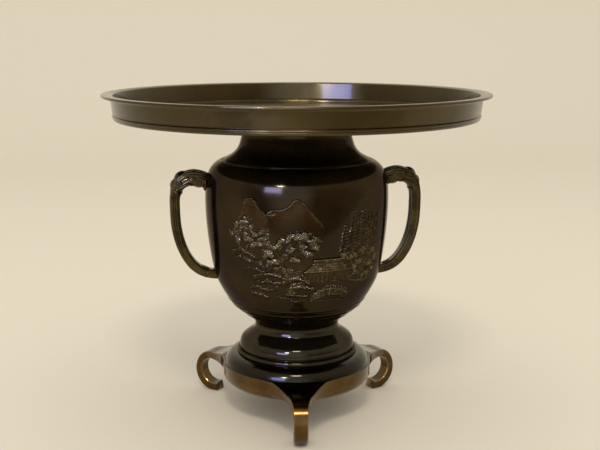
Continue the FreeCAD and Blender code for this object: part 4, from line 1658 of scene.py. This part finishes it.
@dataclass
class Handle:
    """Cast handle: a beast's head at the shoulder bites a grooved strap that curves down to a ringed root.

    The right-hand handle is modelled in the XZ plane and the left one is its mirror image.

    Attributes:
        line: the strap's stations from the head to the root: x, z, half thickness and half width.
        grooves: how many grooves run along the strap.
        groove_depth: how deep they are.
        groove_foot: the level under which the strap is smooth.
        groove_fade: how far above that level the grooves are whole.
        voxel: size of the cells in which the head's lumps are melted together.
        head_out: how far the finished head is moved out from the axis.
    """

    line: tuple[tuple[float, float, float, float], ...] = (
        (69.6, 187.6, 5.6, 6.0), (76.0, 190.0, 6.0, 7.2), (82.6, 191.0, 5.9, 7.4), (89.6, 188.4, 5.6, 7.0),
        (94.0, 183.0, 4.6, 6.4), (95.7, 176.6, 4.1, 6.1), (96.0, 165.5, 4.0, 6.0), (95.0, 151.0, 4.0, 6.0),
        (91.9, 138.0, 3.9, 6.0), (87.4, 128.0, 3.8, 5.9), (82.2, 121.0, 3.7, 5.8), (77.0, 116.9, 3.6, 5.6),
        (72.0, 114.7, 3.5, 5.4), (66.4, 113.6, 3.5, 5.2), (61.4, 113.2, 3.5, 5.2),
    )
    grooves: int = 16
    groove_depth: float = 0.42
    groove_foot: float = 122.0
    groove_fade: float = 20.0
    voxel: float = 0.42
    head_out: float = 2.2

    def _strap(self) -> bpy.types.Object:
        """The strap, swept along the handle's line with grooves that fade out low down."""
        line = smooth_line(self.line, 1.0)
        along = np.gradient(line[:, :2], axis=0)
        along /= np.linalg.norm(along, axis=1)[:, None]
        count = len(line)
        around_count = 96

        def surface(share: np.ndarray, around: np.ndarray) -> np.ndarray:
            """Place on the strap's skin."""
            i = np.rint(share * (count - 1)).astype(int)
            x, z, thick, wide = line[i].T
            turn = around * math.tau
            square = (np.abs(np.cos(turn)) ** 6 + np.abs(np.sin(turn)) ** 6) ** (-1 / 6)
            depth = self.groove_depth * np.clip((z - self.groove_foot) / self.groove_fade, 0, 1)
            cut = 0.5 - 0.5 * np.cos(self.grooves * turn)
            out = (thick * square - depth * cut) * np.cos(turn)
            side = (wide * square - depth * cut) * np.sin(turn)
            nx, nz = -along[i, 1], along[i, 0]
            return np.stack([x + nx * out, side, z + nz * out], axis=1)

        piece = wrapped_sheet("strap", count - 1, around_count, surface)
        finish_skin(piece, crease=60)
        return piece

    def _ball(self, centre: Sequence[float], size: Sequence[float]) -> bpy.types.Object:
        """A ball squashed to three half sizes."""
        clear_selection()
        bpy.ops.mesh.primitive_uv_sphere_add(
            segments=24,
            ring_count=16,
            radius=MM,
            location=[c * MM for c in centre],
        )
        bpy.context.object.scale = size
        bpy.ops.object.transform_apply(location=True, rotation=True, scale=True)
        return bpy.context.object

    def _hoop(
        self,
        centre: Sequence[float],
        across: float,
        thick: float,
        tilt: float = 0.0,
        squash: float = 1.0,
        flat: bool = False,
    ) -> bpy.types.Object:
        """A round bead bent into a hoop.

        Args:
            centre: the hoop's middle.
            across: its radius.
            thick: the bead's radius.
            tilt: turn about Y, in degrees.
            squash: its depth along X before the tilt, as a share of its width.
            flat: whether it lies against the side of the head instead of round the strap.

        Returns:
            The hoop as a mesh.
        """
        clear_selection()
        bpy.ops.mesh.primitive_torus_add(
            major_radius=across * MM,
            minor_radius=thick * MM,
            major_segments=36,
            minor_segments=12,
            location=[c * MM for c in centre],
        )
        hoop = bpy.context.object
        hoop.scale = (squash, 1, 1)
        bpy.ops.object.transform_apply(location=False, rotation=False, scale=True)
        hoop.rotation_euler = (math.radians(90) if flat else 0, math.radians(tilt), 0)
        bpy.ops.object.transform_apply(location=True, rotation=True, scale=True)
        return hoop

    def _horn(
        self,
        points: Sequence[Sequence[float]],
        side: int,
        start: float,
        end: float,
    ) -> list[bpy.types.Object]:
        """A tapering curl, out of overlapping balls along a line.

        Args:
            points: the curl's stations on the side of +Y.
            side: 1 for that side of the head, -1 for its mirror image.
            start: its radius at the first.
            end: its radius at the last.

        Returns:
            The balls.
        """
        line = smooth_line([(x, side * y, z) for x, y, z in points], 0.7)
        sizes = np.linspace(start, end, len(line))
        return [self._ball(spot, (size, size, size)) for spot, size in zip(line, sizes)]

    def _head(self) -> bpy.types.Object:
        """The beast's head: skull, brows, eyes, ears, curled mane, snout and lip, melted into one casting."""
        lumps = {
            "nape": ((74.4, 0, 188.8), (7.4, 6.8, 6.2)),
            "crown": ((81.2, 0, 190.8), (7.2, 7.2, 6.2)),
            "forehead": ((87.4, 0, 189.6), (6.8, 6.8, 6.6)),
            "snout": ((92.0, 0, 184.9), (5.4, 6.0, 5.6)),
            "throat": ((70.0, 0, 184.4), (2.0, 2.4, 4.6)),
        }
        parts = [self._ball(middle, size) for middle, size in lumps.values()]
        for side in (-1, 1):
            brow = [(93.4, 4.6, 186.6), (89.8, 5.6, 191.2), (84.4, 5.8, 194.2), (78.0, 5.4, 195.6)]
            brow += [(72.0, 4.8, 193.6)]
            cheek = [(92.8, 5.2, 181.8), (88.6, 6.8, 183.8), (83.6, 7.2, 186.2), (79.0, 7.0, 186.0)]
            cheek += [(77.2, 6.8, 188.6), (79.4, 7.0, 190.2), (81.6, 7.0, 188.8)]
            parts += self._horn(brow, side, 1.3, 1.0)
            parts += self._horn(cheek, side, 1.2, 0.7)
            eye = (89.6, side * 6.2, 187.8)
            nostril = (95.0, side * 2.6, 184.6)
            ear = (84.6, side * 6.6, 191.6)
            parts += [
                self._ball(eye, (1.7, 1.3, 1.6)),
                self._hoop(eye, 2.3, 0.55, flat=True),
                self._ball(nostril, (1.5, 1.8, 1.5)),
                self._ball(ear, (2.4, 1.2, 1.1)),
            ]
            for i in range(4):
                lock = [
                    (76.6 - i * 1.9, 6.2, 193.4 - i * 0.9),
                    (75.6 - i * 1.9, 7.0, 189.6 - i * 0.8),
                    (76.2 - i * 1.9, 5.8, 185.6 - i * 0.7),
                ]
                parts += self._horn(lock, side, 0.85, 0.7)
        lip, bead = (92.4, 0, 180.4), (92.8, 0, 178.4)
        parts.append(self._hoop(lip, 6.2, 1.2, tilt=-14, squash=0.7))
        parts.append(self._hoop(bead, 5.9, 0.7, tilt=-10, squash=0.68))
        head = joined("head", parts)
        melt = head.modifiers.new("melt", "REMESH")
        melt.mode = "VOXEL"
        melt.voxel_size = self.voxel * MM
        soften = head.modifiers.new("soften", "SMOOTH")
        soften.factor = 0.5
        soften.iterations = 2
        pick(head)
        for modifier in ("melt", "soften"):
            bpy.ops.object.modifier_apply(modifier=modifier)
        head.location = (self.head_out * MM, 0, 0)
        bpy.ops.object.transform_apply(location=True, rotation=True, scale=True)
        bpy.ops.object.shade_smooth()
        return head

    def _root_rings(self) -> list[bpy.types.Object]:
        """Four beads round the strap where it meets the body."""
        return [
            self._hoop((77.6 - i * 1.9, 0, 117.3 - i * 0.9), 5.5, 0.75, tilt=46 + i * 8, squash=0.7)
            for i in range(4)
        ]

    def build(self) -> None:
        """Casts the right handle, mirrors it for the left and dresses both."""
        head = self._head()
        right = joined("beast_handle_right", [self._strap(), head, *self._root_rings()])
        pick(right)
        bpy.ops.object.duplicate()
        left = bpy.context.object
        left.name = "beast_handle_left"
        left.scale = (-1, 1, 1)
        bpy.ops.object.transform_apply(location=True, rotation=True, scale=True)
        bpy.ops.object.mode_set(mode="EDIT")
        bpy.ops.mesh.select_all(action="SELECT")
        bpy.ops.mesh.normals_make_consistent(inside=False)
        bpy.ops.object.mode_set(mode="OBJECT")
        for piece, node in ((right, "handle_right"), (left, "handle_left")):
            write_layer(piece, "wear", bulge(piece, 0.5))
            settle(piece, Rides.VASE, HANDLE_FINISH, [node])


# CAD nodes that keep their shape


def dress_node(node: str, finish: Bronze) -> None:
    """Gives a CAD node that stays in view its finish.

    Args:
        node: the node's name.
        finish: the material to dress it in.
    """
    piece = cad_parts[node]
    piece.data.materials.clear()
    piece.data.materials.append(finish.material())
    LOG.info("%s: CAD node in %s", node, finish.name)


def build_fastenings() -> None:
    """Dresses the rivets and the tie through the pedestal."""
    for node in ("handle_rivets", "tie_stud", "clamp_washer", "clamp_nut"):
        dress_node(node, BRASS_FINISH)


# Studio


def turned(place: Sequence[float], degrees: float) -> Vector:
    """A place turned about the vase's axis.

    Args:
        place: x, y and z.
        degrees: the turn, anticlockwise from above.

    Returns:
        The new place.
    """
    return Matrix.Rotation(math.radians(degrees), 3, "Z") @ Vector(place)


class Lights(Enum):
    """What a lamp shows on."""

    ALL = "card and bronze"
    CARD = "the card only"
    BRONZE = "reflections in bronze only"


@dataclass
class Lamp:
    """A soft box aimed at a point.

    Attributes:
        name: the lamp's name.
        place: where it hangs, in metres.
        aim: what it points at, in metres.
        size: its width and height, in metres.
        power: its power in watts.
        colour: its colour.
        lights: what it shows on.
    """

    name: str
    place: tuple[float, float, float]
    aim: tuple[float, float, float]
    size: tuple[float, float]
    power: float
    colour: str = "#ffffff"
    lights: Lights = Lights.ALL

    def hang(self, turn: float) -> None:
        """Adds the lamp to the scene.

        Args:
            turn: how far the whole set-up is turned about the vase's axis, in degrees.
        """
        data = bpy.data.lights.new(self.name, "AREA")
        data.shape = "RECTANGLE"
        data.size, data.size_y = self.size
        data.energy = self.power
        data.color = linear(self.colour)[:3]
        lamp = bpy.data.objects.new(self.name, data)
        bpy.context.collection.objects.link(lamp)
        lamp.location = turned(self.place, turn)
        lamp.rotation_euler = (turned(self.aim, turn) - lamp.location).to_track_quat("-Z", "Y").to_euler()
        lamp.visible_glossy = self.lights is not Lights.CARD
        lamp.visible_diffuse = self.lights is not Lights.BRONZE


@dataclass
class Studio:
    """Plain pale floor that sweeps up behind the vase, soft lamps, and the camera of the photograph's view.

    Attributes:
        eye_distance: the camera's distance in front of the vase's axis, in millimetres.
        eye_height: its height above the table, in millimetres.
        pitch: how far it looks down, in degrees.
        lens: its focal length for a 36 mm sensor.
        shift: how far the view is moved right, as a share of its width.
        turn: how far the camera and its lamps stand round the vase from the front, in degrees.
        floor_colour: the card's colour.
        front_edge: how far the card reaches in front of the vase's axis, in millimetres.
        card_width: the card's width, in millimetres.
        card_length: its length from the axis back, along the sweep, in millimetres.
        sweep_start: how far behind the axis the sweep starts, in millimetres.
        sweep_radius: the sweep's radius, in millimetres.
        front_wall: the colour that bronze mirrors of the room's dim side, where the camera stands.
        back_wall: the colour that it mirrors of the walls behind and beside the vase.
        ceiling: the colour that it mirrors above.
        even_light: the light on everything that isn't a mirror.
        past_card: what the camera sees past the card.
        glow_way: the way in which bronze mirrors a bright window wall behind the camera.
        glow_edge: how nearly a ray runs that way, as a cosine, where the bright wall starts and is whole.
        glow: that wall's light as linear colour.
        lamps: the lamps, placed for a vase that is looked at from the front.
    """

    eye_distance: float = 782.4
    eye_height: float = 304.4
    pitch: float = 11.11
    lens: float = 60.0
    shift: float = 0.0055
    turn: float = -8.0
    floor_colour: str = "#e3dccd"
    front_edge: float = 450.0
    card_width: float = 7000.0
    card_length: float = 3900.0
    sweep_start: float = 1500.0
    sweep_radius: float = 900.0
    front_wall: str = "#a08a6d"
    back_wall: str = "#ddd2bc"
    ceiling: str = "#dfd6c4"
    even_light: str = "#efebe2"
    past_card: str = "#ebe0cb"
    glow_way: tuple[float, float, float] = (-0.28, -0.94, 0.2)
    glow_edge: Point = (0.8, 0.99)
    glow: tuple[float, float, float] = (1.2, 1.22, 1.32)
    lamps: tuple[Lamp, ...] = (
        Lamp("ceiling_softbox", (0.0, -0.3, 2.2), (0, 0, 0.1), (2.0, 2.0), 4, "#fff6e8", Lights.CARD),
        Lamp("warm_bulb", (-0.03, -1.55, 2.05), (0, 0, 0.1), (0.5, 0.36), 16, "#fff3e0"),
        Lamp("white_tube", (-0.67, -1.75, 1.3), (0, 0, 0.15), (0.22, 0.09), 15, "#f4f6ff", Lights.BRONZE),
        Lamp("cool_window", (-0.95, -1.7, 0.78), (0, 0, 0.15), (0.75, 0.5), 30, "#8e9cff", Lights.BRONZE),
    )

    def floor(self) -> None:
        """A sheet of pale card that lies flat under the vase and sweeps up behind it."""

        def surface(across: np.ndarray, back: np.ndarray) -> np.ndarray:
            """Place on the sweep: flat, then a quarter round, then upright."""
            run = back * (self.card_length + self.front_edge) - self.front_edge
            turn = np.clip((run - self.sweep_start) / self.sweep_radius, 0, math.pi / 2)
            upright = np.maximum(run - self.sweep_start - self.sweep_radius * math.pi / 2, 0)
            depth = np.minimum(run, self.sweep_start) + self.sweep_radius * np.sin(turn)
            level = self.sweep_radius * (1 - np.cos(turn)) + upright
            return np.stack([(across - 0.5) * self.card_width, depth, level], axis=1)

        sheet = wrapped_sheet("floor", 8, 160, surface)
        pick(sheet)
        bpy.ops.object.shade_smooth()
        sheet.data.materials.append(self.card())

    def card(self) -> bpy.types.Material:
        """Matt card with a faint tooth."""
        made, tree = bare_material("pale_card")
        place = add_node(tree, "ShaderNodeTexCoord").outputs["Object"]
        noise = add_node(tree, "ShaderNodeTexNoise", {"Vector": place, "Scale": 900.0, "Detail": 3.0})
        bump = add_node(
            tree,
            "ShaderNodeBump",
            {"Strength": 0.15, "Distance": 0.0002, "Height": noise.outputs[0]},
        )
        shader = add_node(
            tree,
            "ShaderNodeBsdfPrincipled",
            {"Base Color": self.floor_colour, "Roughness": 0.85, "Normal": bump.outputs[0]},
        )
        add_node(tree, "ShaderNodeOutputMaterial", {"Surface": shader.outputs[0]})
        return made

    def room(self) -> None:
        """The light that comes from everywhere else.

        The card takes it evenly, and past the card the camera sees the card's own tone. Bronze mirrors the
        room instead: pale walls behind and beside the vase, a brighter ceiling, the dim side that the camera
        stands in and a bright window wall in it.
        """
        world = bpy.data.worlds.new("room")
        bpy.context.scene.world = world
        world.use_nodes = True
        tree = world.node_tree
        tree.nodes.clear()
        way = add_node(tree, "ShaderNodeTexCoord").outputs["Generated"]
        parts = add_node(tree, "ShaderNodeSeparateXYZ", {0: way})
        behind = spread(tree, parts.outputs[1], (-0.85, 0.25))
        above = spread(tree, parts.outputs[2], (0.06, 0.6))
        walls = blend(tree, behind, self.front_wall, self.back_wall)
        seen = blend(tree, above, walls, self.ceiling)
        nearness = add_node(tree, "ShaderNodeVectorMath", {0: way, 1: self.glow_way}, operation="DOT_PRODUCT")
        glow = spread(tree, nearness.outputs["Value"], self.glow_edge)
        seen = blend(tree, glow, seen, (*self.glow, 1))
        rays = add_node(tree, "ShaderNodeLightPath")
        plain = blend(tree, rays.outputs["Is Camera Ray"], self.even_light, self.past_card)
        tone = blend(tree, rays.outputs["Is Glossy Ray"], plain, seen)
        light = add_node(tree, "ShaderNodeBackground", {"Color": tone, "Strength": 1.0})
        add_node(tree, "ShaderNodeOutputWorld", {"Surface": light.outputs[0]})

    def camera(self) -> None:
        """The camera at the photograph's place and angle."""
        data = bpy.data.cameras.new("camera")
        data.sensor_width = 36
        data.lens = self.lens
        data.shift_x = self.shift
        data.clip_end = 50
        camera = bpy.data.objects.new("camera", data)
        bpy.context.collection.objects.link(camera)
        camera.location = turned((0, -self.eye_distance * MM, self.eye_height * MM), self.turn)
        camera.rotation_euler = (math.radians(90 - self.pitch), 0, math.radians(self.turn))
        bpy.context.scene.camera = camera

    def build(self) -> None:
        """Sets the whole studio up."""
        self.floor()
        self.room()
        self.camera()
        for lamp in self.lamps:
            lamp.hang(self.turn)
        bpy.context.scene.view_settings.view_transform = "Standard"


def main() -> None:
    """Builds the vase from the dish down, then the studio round it."""
    logging.basicConfig(level=logging.INFO, format="%(message)s")
    body = Body()
    Dish().build()
    Neck().build()
    body.build()
    Landscape(body).build()
    Handle().build()
    Pedestal().build()
    Stand().build()
    build_fastenings()
    Studio().build()


if __name__ == "__main__":
    main()
